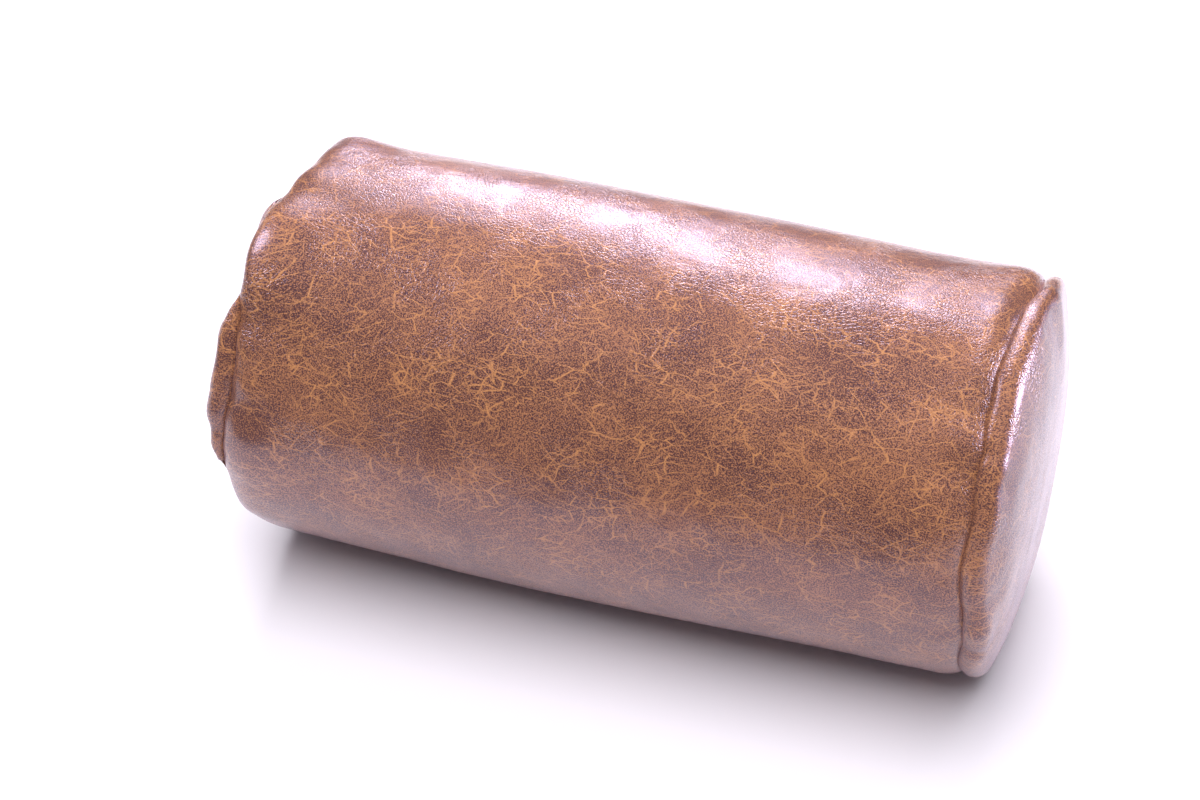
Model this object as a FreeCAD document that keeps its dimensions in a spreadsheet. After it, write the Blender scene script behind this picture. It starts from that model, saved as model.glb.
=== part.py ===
"""Bolster pillow: a zipped leatherette cover round a foam core with wadding and a knitted sleeve.

The roll lies along X.  Its filled cover has settled a little, so each layer's section is a circle
with a flat chord below.  The origin is under the middle of that flat, and +Z is up.
The zip is in the lengthwise seam at the back (+Y), a little above the axis.
"""
import FreeCAD, Part
import math
import os
import Sketcher
from FreeCAD import Placement, Rotation, Vector

# ---------------------------------------------------------------- driving sizes, in mm and degrees
DRIVING_SIZES = {
    # the filled roll
    "tube_radius": 77.0,        # outside of the cover round the roll
    "seam_spacing": 276.0,      # from one end seam to the other
    "disc_crown": 9.0,          # how far each end disc stands out past its seam
    "settle_depth": 2.5,        # how far the roll has flattened on what it lies on
    "settle_blend": 15.0,       # radius where the flat runs into the round
    # the leatherette cover
    "cover_thickness": 1.0,
    "rim_round": 5.0,           # the tube panel's rounded rim at each end seam
    "disc_inset": 2.0,          # the end disc's outline, in from the tube's
    "disc_side": 0.5,           # the disc's straight side, between its two rounds
    "seam_allowance": 8.0,      # turned in at each end seam
    # sewing thread
    "thread_size": 0.4,
    "seam_thread_depth": 1.5,   # stitch line of the end seams, in from the valley
    # the filling
    "layer_gap": 0.3,           # between any two layers
    "sleeve_thickness": 0.5,
    "sleeve_mouth_radius": 8.0,
    "sleeve_round": 4.0,
    "wadding_thickness": 8.0,
    "foam_round": 3.0,
    "wadding_disc_round": 4.0,
    # the zip: its seam is this far above the axis, seen from the end
    "zip_angle": 25.0,
    "zip_setback": 23.0,        # from each end seam to the slot
    "slot_clearance": 0.5,      # each side of the slider
    "slot_corner_round": 3.0,
    "tape_width": 14.5,
    "tape_thickness": 0.6,
    "tape_overrun": 12.0,       # tape sewn in past each end of the slot
    "tape_part": 0.9,           # half the slit between the tapes
    "tape_cover_gap": 0.2,
    "coil_width": 2.4,
    "coil_height": 1.4,
    "coil_part": 0.7,           # half the slit between the coils
    "stop_length": 3.0,
    "stop_setback": 3.0,        # from the end of the slot to a stop
    "stop_overhang": 0.3,       # how much wider and higher a stop is than its coil
    "topstitch_offset": 2.5,    # from the slot's edge to the line of stitches
    "topstitch_width": 0.6,
    "bar_tack_width": 12.0,
    "bar_tack_length": 1.6,
    "bar_tack_height": 0.5,
    # the slider and its pull
    "slider_length": 12.0,
    "slider_width": 10.0,
    "slider_plate": 1.1,
    "slider_clearance": 0.3,    # over the coils, round the pin and past the stops
    "slider_tape_clearance": 0.4,
    "slider_flange": 0.8,
    "slider_corner_round": 2.5,
    "divider_thickness": 0.8,
    "divider_length": 4.0,
    "bail_length": 8.0,
    "bail_width": 2.4,
    "bail_bar": 1.0,
    "pull_pin_radius": 0.7,
    "pull_length": 26.0,
    "pull_width": 7.5,
    "pull_eye_clearance": 1.0,  # past the end of the bail
    "pull_arm_width": 1.4,
    "pull_side_clearance": 0.3,
    "pull_corner_round": 2.4,
}

doc = FreeCAD.newDocument("bolster_pillow")
dims = doc.addObject("Spreadsheet::Sheet", "dims")
for row, (alias, number) in enumerate(DRIVING_SIZES.items(), start=1):
    dims.set(f"A{row}", alias)
    dims.set(f"B{row}", str(number))
    dims.setAlias(f"B{row}", alias)
doc.recompute()

# ---------------------------------------------------------------- places worked out from the sizes
# Each of these is an expression over the sheet's cells.
AXIS_HEIGHT = "(dims.tube_radius - dims.settle_depth)"
SEAM_X = "(dims.seam_spacing / 2)"
DISC_FACE_X = f"({SEAM_X} + dims.disc_crown)"
VALLEY_INSET = "dims.rim_round"
DISC_SEAM_ROUND = "(dims.rim_round - dims.disc_inset)"
DISC_EDGE_ROUND = f"(dims.disc_crown - {DISC_SEAM_ROUND} - dims.disc_side)"
ALLOWANCE_INSET = f"({VALLEY_INSET} + dims.seam_allowance)"

ZIP_END_X = f"({SEAM_X} - dims.zip_setback)"
ZIP_EDGE_Y = "(dims.slider_width / 2 + dims.slot_clearance)"
TAPE_OUTER_R = "(dims.tube_radius - dims.cover_thickness - dims.tape_cover_gap)"
TAPE_INNER_R = f"({TAPE_OUTER_R} - dims.tape_thickness)"
COIL_TOP_R = f"({TAPE_OUTER_R} + dims.coil_height)"
COIL_OUTER_Y = "(dims.coil_part + dims.coil_width)"
COIL_END_X = f"({ZIP_END_X} - dims.stop_setback - dims.stop_length)"

TOP_PLATE_R = f"({COIL_TOP_R} + dims.slider_clearance)"
BAIL_FOOT_R = f"({TOP_PLATE_R} + dims.slider_plate)"
PIN_R = f"({BAIL_FOOT_R} + dims.slider_clearance + dims.pull_pin_radius)"
BRIDGE_R = f"({PIN_R} + dims.pull_pin_radius + dims.slider_clearance)"
BOTTOM_PLATE_TOP_R = f"({TAPE_INNER_R} - dims.slider_tape_clearance)"
BOTTOM_PLATE_R = f"({BOTTOM_PLATE_TOP_R} - dims.slider_plate)"
SLIDER_X = f"({COIL_END_X} - dims.slider_clearance - dims.slider_length / 2)"

# Layers of the filling, as insets from the outside of the cover.
SLEEVE_INSET = f"(dims.tube_radius - {TAPE_INNER_R} + dims.layer_gap)"
SLEEVE_INNER_INSET = f"({SLEEVE_INSET} + dims.sleeve_thickness)"
WADDING_INSET = f"({SLEEVE_INNER_INSET} + dims.layer_gap)"
WADDING_INNER_INSET = f"({WADDING_INSET} + dims.wadding_thickness)"
FOAM_INSET = f"({WADDING_INNER_INSET} + dims.layer_gap)"
SLEEVE_END_X = f"({SEAM_X} - dims.cover_thickness - dims.thread_size - 2 * dims.layer_gap)"
SLEEVE_INNER_END_X = f"({SLEEVE_END_X} - dims.sleeve_thickness)"
CORE_END_X = f"({SLEEVE_INNER_END_X} - dims.layer_gap)"

# The filling gives way along the zip, so that the slider's lower plate has room to run.
RELIEF_HALF_WIDTH = "(dims.slider_width / 2 + 3 * dims.layer_gap)"
RELIEF_FLOOR_R = f"({BOTTOM_PLATE_R} - dims.slider_clearance)"


def value(expression):
    """The number that an expression over the sheet's cells comes to."""
    names = {alias: dims.get(alias) for alias in DRIVING_SIZES}
    for alias in sorted(names, key=len, reverse=True):
        expression = expression.replace(f"dims.{alias}", repr(float(names[alias])))
    return float(FreeCAD.Units.Quantity(expression).Value)


def minus(expression):
    return f"(-({expression}))"


# ---------------------------------------------------------------- building blocks
def new_body(label):
    body = doc.addObject("PartDesign::Body", label)
    body.Label = label
    return body


def origin_plane(body, role):
    return next(item for item in body.Origin.OriginFeatures if item.Role == role)


def new_sketch(body, name, role, offset):
    """A sketch parallel to one of its body's own origin planes, offset along that plane's normal."""
    sketch = body.newObject("Sketcher::SketchObject", name)
    sketch.AttachmentSupport = [(origin_plane(body, role), "")]
    sketch.MapMode = "FlatFace"
    sketch.setExpression("AttachmentOffset.Base.z", offset)
    return sketch


def constrain(sketch, name, kind, where, expression):
    """One driving constraint, named and bound to the sheet."""
    number = sketch.addConstraint(Sketcher.Constraint(kind, *where, value(expression)))
    sketch.renameConstraint(number, name)
    sketch.setExpression(f"Constraints.{name}", expression)


def pad(body, sketch, length):
    feature = body.newObject("PartDesign::Pad", f"{sketch.Name}_pad")
    feature.Profile = sketch
    feature.setExpression("Length", length)
    sketch.Visibility = False
    doc.recompute()
    return feature


def fillet(body, base, edge_test, radius):
    """Round the edges of the base feature that pass edge_test."""
    names = [f"Edge{i}" for i, edge in enumerate(base.Shape.Edges, start=1) if edge_test(edge)]
    feature = body.newObject("PartDesign::Fillet", f"{base.Name}_fillet")
    feature.Base = (base, names)
    feature.setExpression("Radius", radius)
    doc.recompute()
    return feature


def is_along(direction):
    """A test for straight edges parallel to a direction."""
    def test(edge):
        if not isinstance(edge.Curve, Part.Line):
            return False
        return edge.Curve.Direction.cross(direction).Length < 1e-6
    return test


def is_at_x(x):
    """A test for edges that lie in the plane at x."""
    def test(edge):
        box = edge.BoundBox
        return abs(box.XMin - x) < 1e-4 and abs(box.XMax - x) < 1e-4
    return test


def settled_outline(sketch, inset):
    """The roll's section, a given inset in from the cover's outside: a circle cut by a level chord."""
    radius = f"dims.tube_radius - {inset}"
    depth = f"{AXIS_HEIGHT} - {inset}"
    chord_angle = math.asin(value(depth) / value(radius))
    circle = Part.Circle(Vector(0, 0, 0), Vector(0, 0, 1), value(radius))
    arc = sketch.addGeometry(Part.ArcOfCircle(circle, -chord_angle, math.pi + chord_angle))
    half_chord = value(radius) * math.cos(chord_angle)
    chord = sketch.addGeometry(Part.LineSegment(Vector(-half_chord, -value(depth), 0),
                                                Vector(half_chord, -value(depth), 0)))
    sketch.addConstraint(Sketcher.Constraint("Coincident", arc, 3, -1, 1))
    sketch.addConstraint(Sketcher.Constraint("Coincident", arc, 1, chord, 2))
    sketch.addConstraint(Sketcher.Constraint("Coincident", arc, 2, chord, 1))
    sketch.addConstraint(Sketcher.Constraint("Horizontal", chord))
    constrain(sketch, "radius", "Radius", (arc,), radius)
    constrain(sketch, "chord_level", "DistanceY", (chord, 1), minus(depth))


def roll_body(label, inset, x_start, x_end, start_round=None, end_round=None):
    """A solid of the roll's section between two places along X, with either end rounded."""
    body = new_body(label)
    sketch = new_sketch(body, f"{label}_section", "YZ_Plane", x_start)
    settled_outline(sketch, inset)
    feature = pad(body, sketch, f"{x_end} - {x_start}")
    feature = fillet(body, feature, is_along(Vector(1, 0, 0)), "dims.settle_blend")
    if start_round:
        feature = fillet(body, feature, is_at_x(value(x_start)), start_round)
    if end_round:
        feature = fillet(body, feature, is_at_x(value(x_end)), end_round)
    body.setExpression("Placement.Base.z", AXIS_HEIGHT)
    return body


def block(body, name, x_span, y_span, z_span):
    """Add a rectangular block to a body; spans are pairs of expressions in the body's own frame."""
    sketch = new_sketch(body, name, "XY_Plane", z_span[0])
    corners = [(value(x_span[i]), value(y_span[j])) for i, j in ((0, 0), (1, 0), (1, 1), (0, 1))]
    lines = []
    for (x0, y0), (x1, y1) in zip(corners, corners[1:] + corners[:1]):
        lines.append(sketch.addGeometry(Part.LineSegment(Vector(x0, y0, 0), Vector(x1, y1, 0))))
    for here, after in zip(lines, lines[1:] + lines[:1]):
        sketch.addConstraint(Sketcher.Constraint("Coincident", here, 2, after, 1))
    for line, kind in zip(lines, ("Horizontal", "Vertical") * 2):
        sketch.addConstraint(Sketcher.Constraint(kind, line))
    constrain(sketch, "x_low", "DistanceX", (lines[0], 1), x_span[0])
    constrain(sketch, "y_low", "DistanceY", (lines[0], 1), y_span[0])
    constrain(sketch, "x_high", "DistanceX", (lines[2], 1), x_span[1])
    constrain(sketch, "y_high", "DistanceY", (lines[2], 1), y_span[1])
    return pad(body, sketch, f"{z_span[1]} - {z_span[0]}")


def place_at_zip(shape_object):
    """Turn a piece modelled in the zip's frame into the roll.

    In that frame X runs along the zip, Z is the radius outwards and Y is across the zip, downwards.
    """
    shape_object.Placement = Placement(Vector(0, 0, 0), Rotation(Vector(1, 0, 0), -1))
    shape_object.setExpression("Placement.Rotation.Angle", "dims.zip_angle - 90")
    shape_object.setExpression("Placement.Base.z", AXIS_HEIGHT)


def zip_body(label):
    body = new_body(label)
    place_at_zip(body)
    return body


def boolean(kind, label, base, tool):
    result = doc.addObject(kind, label)
    result.Label = label
    result.Base = base
    result.Tool = tool
    doc.recompute()
    return result


def cut(label, base, tool):
    return boolean("Part::Cut", label, base, tool)


def fuse(label, base, tool):
    return boolean("Part::Fuse", label, base, tool)


def group(label, members):
    """Separate solids that count as one sub-part."""
    result = doc.addObject("Part::Compound", label)
    result.Label = label
    result.Links = members
    doc.recompute()
    return result


def curved_strip(label, r_inner, r_outer, arc_start, arc_length, x_start, x_end):
    """A strip that follows the roll; arc_start and arc_length are round it, up from the zip's seam."""
    to_degrees = f"* 180 / pi / {r_outer}"
    sector = doc.addObject("Part::Cylinder", f"{label}_sector")
    hollow = doc.addObject("Part::Cylinder", f"{label}_hollow")
    # A cylinder's own Z becomes the roll's X, and its angle opens from +Y towards +Z.
    along_roll = Rotation(Vector(0, 1, 0), Vector(0, 0, 1), Vector(1, 0, 0), "ZXY")
    for cylinder, radius, overrun in ((sector, r_outer, "0"), (hollow, r_inner, "1")):
        cylinder.Placement = Placement(Vector(0, 0, 0), along_roll)
        cylinder.setExpression("Radius", radius)
        cylinder.setExpression("Height", f"{x_end} - {x_start} + 2 * {overrun}")
        cylinder.setExpression("Placement.Base.x", f"{x_start} - {overrun}")
    sector.setExpression("Angle", f"{arc_length} {to_degrees}")
    strip = cut(label, sector, hollow)
    strip.Placement = Placement(Vector(0, 0, 0), Rotation(Vector(1, 0, 0), 1))
    strip.setExpression("Placement.Rotation.Angle", f"dims.zip_angle + {arc_start} {to_degrees}")
    strip.setExpression("Placement.Base.z", AXIS_HEIGHT)
    doc.recompute()
    return strip


parts = []

# ---------------------------------------------------------------- cover: the tube panel
tube_outside = roll_body("tube_outside", "0", minus(SEAM_X), SEAM_X, "dims.rim_round", "dims.rim_round")
CAVITY_END_X = f"({SEAM_X} - dims.cover_thickness)"
CAVITY_ROUND = "dims.rim_round - dims.cover_thickness"
tube_cavity = roll_body("tube_cavity", "dims.cover_thickness", minus(CAVITY_END_X), CAVITY_END_X,
                        CAVITY_ROUND, CAVITY_ROUND)
tube_mouths = roll_body("tube_mouths", ALLOWANCE_INSET, minus(DISC_FACE_X), DISC_FACE_X)
tube_void = fuse("tube_void", tube_cavity, tube_mouths)
tube_walls = cut("tube_walls", tube_outside, tube_void)

zip_slot = zip_body("zip_slot")
slot_pad = block(zip_slot, "slot", (minus(ZIP_END_X), ZIP_END_X), (minus(ZIP_EDGE_Y), ZIP_EDGE_Y),
                 (RELIEF_FLOOR_R, "(dims.tube_radius + dims.cover_thickness)"))
fillet(zip_slot, slot_pad, is_along(Vector(0, 0, 1)), "dims.slot_corner_round")
parts.append(cut("cover_tube", tube_walls, zip_slot))


# ---------------------------------------------------------------- cover: the end discs and their seams
def x_range(side, near, far):
    """Order two distances from the middle as a low and a high x on one side."""
    return (near, far) if side > 0 else (minus(far), minus(near))


def rounds(side, near_round, far_round):
    return (near_round, far_round) if side > 0 else (far_round, near_round)


def end_disc(name, side):
    """A crowned disc with a turned-in allowance that lies against the tube's allowance."""
    wall = "dims.cover_thickness"
    outside = roll_body(f"{name}_disc_outside", "dims.disc_inset", *x_range(side, SEAM_X, DISC_FACE_X),
                        *rounds(side, DISC_SEAM_ROUND, DISC_EDGE_ROUND))
    cavity = roll_body(f"{name}_disc_cavity", f"(dims.disc_inset + {wall})",
                       *x_range(side, f"({SEAM_X} + {wall})", f"({DISC_FACE_X} - {wall})"),
                       *rounds(side, f"{DISC_SEAM_ROUND} - {wall}", f"{DISC_EDGE_ROUND} - {wall}"))
    mouth = roll_body(f"{name}_disc_mouth", ALLOWANCE_INSET,
                      *x_range(side, CAVITY_END_X, f"({SEAM_X} + 2 * {wall})"))
    return cut(f"{name}_end_disc", outside, fuse(f"{name}_disc_void", cavity, mouth))


def end_seam_thread(name, side):
    """The needle and bobbin threads, one on each face of the paired allowances."""
    line_inset = f"({VALLEY_INSET} + dims.seam_thread_depth)"
    inner_inset = f"({line_inset} + dims.thread_size)"
    faces = {"needle": f"({SEAM_X} - dims.cover_thickness - dims.thread_size)",
             "bobbin": f"({SEAM_X} + dims.cover_thickness)"}
    rings = []
    for thread, near in faces.items():
        span = x_range(side, near, f"({near} + dims.thread_size)")
        ring = roll_body(f"{name}_{thread}_ring", line_inset, *span)
        middle_span = x_range(side, f"({near} - dims.thread_size)", f"({near} + 2 * dims.thread_size)")
        middle = roll_body(f"{name}_{thread}_middle", inner_inset, *middle_span)
        rings.append(cut(f"{name}_{thread}_thread", ring, middle))
    return group(f"{name}_end_seam_thread", rings)


for side_name, side_sign in (("left", -1), ("right", 1)):
    parts.append(end_disc(side_name, side_sign))
    parts.append(end_seam_thread(side_name, side_sign))

# ---------------------------------------------------------------- the zip's tapes and stitching
TAPE_END_X = f"({ZIP_END_X} + dims.tape_overrun)"
TOPSTITCH_ARC = f"({ZIP_EDGE_Y} + dims.topstitch_offset)"
THREAD_TOP_R = "(dims.tube_radius + dims.thread_size)"
BAR_TACK_TOP_R = "(dims.tube_radius + dims.bar_tack_height)"

for side_name, side_sign in (("upper", 1), ("lower", -1)):
    near_arc = "dims.tape_part" if side_sign > 0 else minus("dims.tape_part + dims.tape_width")
    parts.append(curved_strip(f"zip_tape_{side_name}", TAPE_INNER_R, TAPE_OUTER_R,
                              near_arc, "dims.tape_width", minus(TAPE_END_X), TAPE_END_X))
    stitch_arc = TOPSTITCH_ARC if side_sign > 0 else minus(f"{TOPSTITCH_ARC} + dims.topstitch_width")
    parts.append(curved_strip(f"zip_stitching_{side_name}", "dims.tube_radius", THREAD_TOP_R,
                              stitch_arc, "dims.topstitch_width", minus(ZIP_END_X), ZIP_END_X))

bar_tacks = []
seam_threads = []
TACK_NEAR_X = f"({ZIP_END_X} + dims.thread_size)"
TACK_FAR_X = f"({TACK_NEAR_X} + dims.bar_tack_length)"
SEAM_THREAD_END_X = f"({CAVITY_END_X} - dims.rim_round)"
for side_name, side_sign in (("left", -1), ("right", 1)):
    bar_tacks.append(curved_strip(f"bar_tack_{side_name}", "dims.tube_radius", BAR_TACK_TOP_R,
                                  minus("dims.bar_tack_width / 2"), "dims.bar_tack_width",
                                  *x_range(side_sign, TACK_NEAR_X, TACK_FAR_X)))
    seam_threads.append(curved_strip(f"back_seam_{side_name}", f"({TAPE_OUTER_R} - dims.thread_size)",
                                     TAPE_OUTER_R, minus("dims.thread_size / 2"), "dims.thread_size",
                                     *x_range(side_sign, TACK_NEAR_X, SEAM_THREAD_END_X)))
parts.append(group("zip_bar_tacks", bar_tacks))
parts.append(group("back_seam_thread", seam_threads))

# ---------------------------------------------------------------- the zip's coils and stops
for side_name, side_sign in (("upper", -1), ("lower", 1)):
    coil = zip_body(f"zip_coil_{side_name}")
    block(coil, f"coil_{side_name}", (minus(COIL_END_X), COIL_END_X),
          x_range(side_sign, "dims.coil_part", COIL_OUTER_Y), (TAPE_OUTER_R, COIL_TOP_R))
    parts.append(coil)

STOP_END_X = f"({COIL_END_X} + dims.stop_length)"
STOP_OUTER_Y = f"({COIL_OUTER_Y} + dims.stop_overhang)"
STOP_TOP_R = f"({COIL_TOP_R} + dims.stop_overhang)"
top_stops = []
for side_name, side_sign in (("upper", -1), ("lower", 1)):
    stop = zip_body(f"top_stop_{side_name}")
    block(stop, f"stop_{side_name}", (COIL_END_X, STOP_END_X),
          x_range(side_sign, "dims.coil_part", STOP_OUTER_Y), (TAPE_OUTER_R, STOP_TOP_R))
    top_stops.append(stop)
parts.append(group("zip_top_stops", top_stops))

bottom_stop = zip_body("zip_bottom_stop")
block(bottom_stop, "bottom_stop_bar", (minus(STOP_END_X), minus(COIL_END_X)),
      (minus(STOP_OUTER_Y), STOP_OUTER_Y), (TAPE_OUTER_R, STOP_TOP_R))
parts.append(bottom_stop)

# ---------------------------------------------------------------- the slider
SLIDER_LOW_X = f"({SLIDER_X} - dims.slider_length / 2)"
SLIDER_HIGH_X = f"({SLIDER_X} + dims.slider_length / 2)"
HALF_SLIDER = "(dims.slider_width / 2)"
FLANGE_R = f"({TAPE_OUTER_R} + dims.slider_tape_clearance)"
plate_x = (SLIDER_LOW_X, SLIDER_HIGH_X)
plate_y = (minus(HALF_SLIDER), HALF_SLIDER)

slider = zip_body("zip_slider")
block(slider, "bottom_plate", plate_x, plate_y, (BOTTOM_PLATE_R, BOTTOM_PLATE_TOP_R))
block(slider, "divider", (f"({SLIDER_HIGH_X} - dims.divider_length)", SLIDER_HIGH_X),
      (minus("dims.divider_thickness / 2"), "dims.divider_thickness / 2"), (BOTTOM_PLATE_R, BAIL_FOOT_R))
top_plate = block(slider, "top_plate", plate_x, plate_y, (TOP_PLATE_R, BAIL_FOOT_R))
for side_name, side_sign in (("upper", -1), ("lower", 1)):
    top_plate = block(slider, f"flange_{side_name}", plate_x,
                      x_range(side_sign, f"({HALF_SLIDER} - dims.slider_flange)", HALF_SLIDER),
                      (FLANGE_R, BAIL_FOOT_R))


def is_plate_corner(edge):
    """The upright edges at the corners of the slider's plates."""
    middle = edge.BoundBox.Center
    at_side = abs(abs(middle.y) - value(HALF_SLIDER)) < 1e-4
    return is_along(Vector(0, 0, 1))(edge) and at_side


slider_plates = fillet(slider, top_plate, is_plate_corner, "dims.slider_corner_round")
BAIL_TOP_R = f"({BRIDGE_R} + dims.bail_bar)"
bail_y = (minus("dims.bail_width / 2"), "dims.bail_width / 2")
bail_low_x = f"({SLIDER_X} - dims.bail_length / 2)"
bail_high_x = f"({SLIDER_X} + dims.bail_length / 2)"
block(slider, "bail_foot_low", (bail_low_x, f"({bail_low_x} + dims.bail_bar)"), bail_y,
      (TOP_PLATE_R, BAIL_TOP_R))
block(slider, "bail_foot_high", (f"({bail_high_x} - dims.bail_bar)", bail_high_x), bail_y,
      (TOP_PLATE_R, BAIL_TOP_R))
bail = block(slider, "bail_bridge", (bail_low_x, bail_high_x), bail_y, (BRIDGE_R, BAIL_TOP_R))


def is_bail_shoulder(edge):
    """The two level edges across the zip where the bail's feet turn into its bridge."""
    box = edge.BoundBox
    at_top = abs(box.ZMin - value(BAIL_TOP_R)) < 1e-4
    at_ends = min(abs(box.Center.x - value(bail_low_x)), abs(box.Center.x - value(bail_high_x))) < 1e-4
    return is_along(Vector(0, 1, 0))(edge) and at_top and at_ends


fillet(slider, bail, is_bail_shoulder, "dims.bail_bar * 0.9")
parts.append(slider)

# ---------------------------------------------------------------- the pull tab
# Its pin lies under the slider's bail, and its two arms pass each side of the bail.
ARM_INNER_Y = "(dims.bail_width / 2 + dims.pull_side_clearance)"
ARM_OUTER_Y = f"({ARM_INNER_Y} + dims.pull_arm_width)"
EYE_END_X = f"({SLIDER_X} - dims.bail_length / 2 - dims.pull_eye_clearance)"
tab_z = (f"({PIN_R} - dims.pull_pin_radius)", f"({PIN_R} + dims.pull_pin_radius)")

pull = zip_body("zip_pull_tab")
tab = block(pull, "tab", (f"({SLIDER_X} - dims.pull_length)", EYE_END_X),
            (minus("dims.pull_width / 2"), "dims.pull_width / 2"), tab_z)
fillet(pull, tab, is_along(Vector(0, 0, 1)), "dims.pull_corner_round")
for side_name, side_sign in (("upper", -1), ("lower", 1)):
    block(pull, f"arm_{side_name}", (f"({EYE_END_X} - dims.pull_corner_round)", SLIDER_X),
          x_range(side_sign, ARM_INNER_Y, ARM_OUTER_Y), tab_z)

pin_sketch = new_sketch(pull, "pin_section", "XZ_Plane", minus(ARM_OUTER_Y))
pin_circle = Part.Circle(Vector(value(SLIDER_X), value(PIN_R), 0), Vector(0, 0, 1),
                         value("dims.pull_pin_radius"))
pin_curve = pin_sketch.addGeometry(pin_circle)
constrain(pin_sketch, "pin_x", "DistanceX", (pin_curve, 3), SLIDER_X)
constrain(pin_sketch, "pin_height", "DistanceY", (pin_curve, 3), PIN_R)
constrain(pin_sketch, "pin_radius", "Radius", (pin_curve,), "dims.pull_pin_radius")
pad(pull, pin_sketch, f"2 * {ARM_OUTER_Y}")
parts.append(pull)


# ---------------------------------------------------------------- the filling
def relieved(label, layer, side_gap, depth_gap):
    """A layer with the channel that lets the slider's lower plate run, widened and deepened by two gaps."""
    channel = zip_body(f"{label}_channel")
    half_width = f"({RELIEF_HALF_WIDTH} + {side_gap})"
    half_length = f"({ZIP_END_X} + {side_gap})"
    block(channel, f"{label}_trough", (minus(half_length), half_length),
          (minus(half_width), half_width), (f"({RELIEF_FLOOR_R} - {depth_gap})", "dims.tube_radius"))
    return cut(label, layer, channel)


sleeve_outside = relieved("sleeve_outside", roll_body(
    "sleeve_roll", SLEEVE_INSET, minus(SLEEVE_END_X), SLEEVE_END_X,
    "dims.sleeve_round", "dims.sleeve_round"), "0", "0")
SLEEVE_INNER_ROUND = "dims.sleeve_round - dims.sleeve_thickness"
sleeve_inside = relieved("sleeve_inside", roll_body(
    "sleeve_inner_roll", SLEEVE_INNER_INSET, minus(SLEEVE_INNER_END_X), SLEEVE_INNER_END_X,
    SLEEVE_INNER_ROUND, SLEEVE_INNER_ROUND), "dims.sleeve_thickness", "dims.sleeve_thickness")
sleeve_mouth = doc.addObject("Part::Cylinder", "sleeve_mouth")
sleeve_mouth.Placement = Placement(Vector(0, 0, 0), Rotation(Vector(0, 1, 0), 90))
sleeve_mouth.setExpression("Radius", "dims.sleeve_mouth_radius")
sleeve_mouth.setExpression("Height", f"2 * {DISC_FACE_X}")
sleeve_mouth.setExpression("Placement.Base.x", minus(DISC_FACE_X))
sleeve_mouth.setExpression("Placement.Base.z", AXIS_HEIGHT)
parts.append(cut("stockinette_sleeve", sleeve_outside, fuse("sleeve_void", sleeve_inside, sleeve_mouth)))

WADDING_RELIEF = "(dims.sleeve_thickness + dims.layer_gap)"
WADDING_ROUND = f"{SLEEVE_INNER_ROUND} - dims.layer_gap"
wadding_outside = relieved("wadding_outside", roll_body(
    "wadding_roll", WADDING_INSET, minus(CORE_END_X), CORE_END_X,
    WADDING_ROUND, WADDING_ROUND), WADDING_RELIEF, WADDING_RELIEF)
wadding_inside = roll_body("wadding_inside", WADDING_INNER_INSET, minus(SEAM_X), SEAM_X)
parts.append(cut("wadding_wrap", wadding_outside, wadding_inside))

parts.append(roll_body("foam_core", FOAM_INSET, minus(CORE_END_X), CORE_END_X,
                       "dims.foam_round", "dims.foam_round"))

for side_name, side_sign in (("left", -1), ("right", 1)):
    pad_near = f"({SLEEVE_END_X} + dims.layer_gap)"
    pad_far = f"({DISC_FACE_X} - dims.cover_thickness - dims.layer_gap)"
    parts.append(roll_body(f"{side_name}_wadding_disc", f"({ALLOWANCE_INSET} + dims.layer_gap)",
                           *x_range(side_sign, pad_near, pad_far),
                           *rounds(side_sign, None, "dims.wadding_disc_round")))

# ---------------------------------------------------------------- check and write
doc.recompute()
for item in doc.Objects:
    if "Invalid" in item.State or "Error" in item.State:
        raise RuntimeError(f"{item.Label} failed: {item.State}")
for part in parts:
    shape = part.Shape
    if shape.isNull() or not shape.isValid() or not shape.Solids:
        raise RuntimeError(f"{part.Label} has no valid shape")

os.makedirs("parts", exist_ok=True)
for part in parts:
    part.Shape.exportStep(f"parts/{part.Label}.step")
    print(f"{part.Label}: {len(part.Shape.Solids)} solid(s), {part.Shape.Volume:.1f} mm3")
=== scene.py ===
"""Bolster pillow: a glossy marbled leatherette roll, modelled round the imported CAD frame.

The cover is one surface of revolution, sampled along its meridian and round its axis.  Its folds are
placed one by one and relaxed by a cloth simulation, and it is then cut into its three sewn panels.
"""
import math
import bmesh
import bpy
import numpy as np
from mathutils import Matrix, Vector


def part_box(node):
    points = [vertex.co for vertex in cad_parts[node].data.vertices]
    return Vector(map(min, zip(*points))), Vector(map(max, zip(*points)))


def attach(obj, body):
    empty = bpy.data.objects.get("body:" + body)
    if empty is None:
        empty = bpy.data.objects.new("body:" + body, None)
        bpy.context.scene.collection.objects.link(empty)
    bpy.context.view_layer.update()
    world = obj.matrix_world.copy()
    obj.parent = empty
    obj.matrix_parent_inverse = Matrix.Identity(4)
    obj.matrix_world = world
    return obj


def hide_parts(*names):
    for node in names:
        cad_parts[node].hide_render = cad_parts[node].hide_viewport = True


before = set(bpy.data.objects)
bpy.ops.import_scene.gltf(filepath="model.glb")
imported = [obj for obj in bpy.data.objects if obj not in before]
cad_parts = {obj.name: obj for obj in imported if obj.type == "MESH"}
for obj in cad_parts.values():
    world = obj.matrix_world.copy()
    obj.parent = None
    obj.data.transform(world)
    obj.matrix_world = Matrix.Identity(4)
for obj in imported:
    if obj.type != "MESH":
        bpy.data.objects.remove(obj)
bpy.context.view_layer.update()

# ---------------------------------------------------------------- places read from the frame, in metres
MM = 0.001
tube_low, tube_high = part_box("cover_tube")
RADIUS = (tube_high.y - tube_low.y) / 2
SEAM_X = tube_high.x
AXIS_Z = tube_high.z - RADIUS
ZIP_END_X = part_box("zip_stitching_upper")[1].x
TAPE_END_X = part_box("zip_tape_upper")[1].x
stop_low, stop_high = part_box("zip_bottom_stop")
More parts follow.
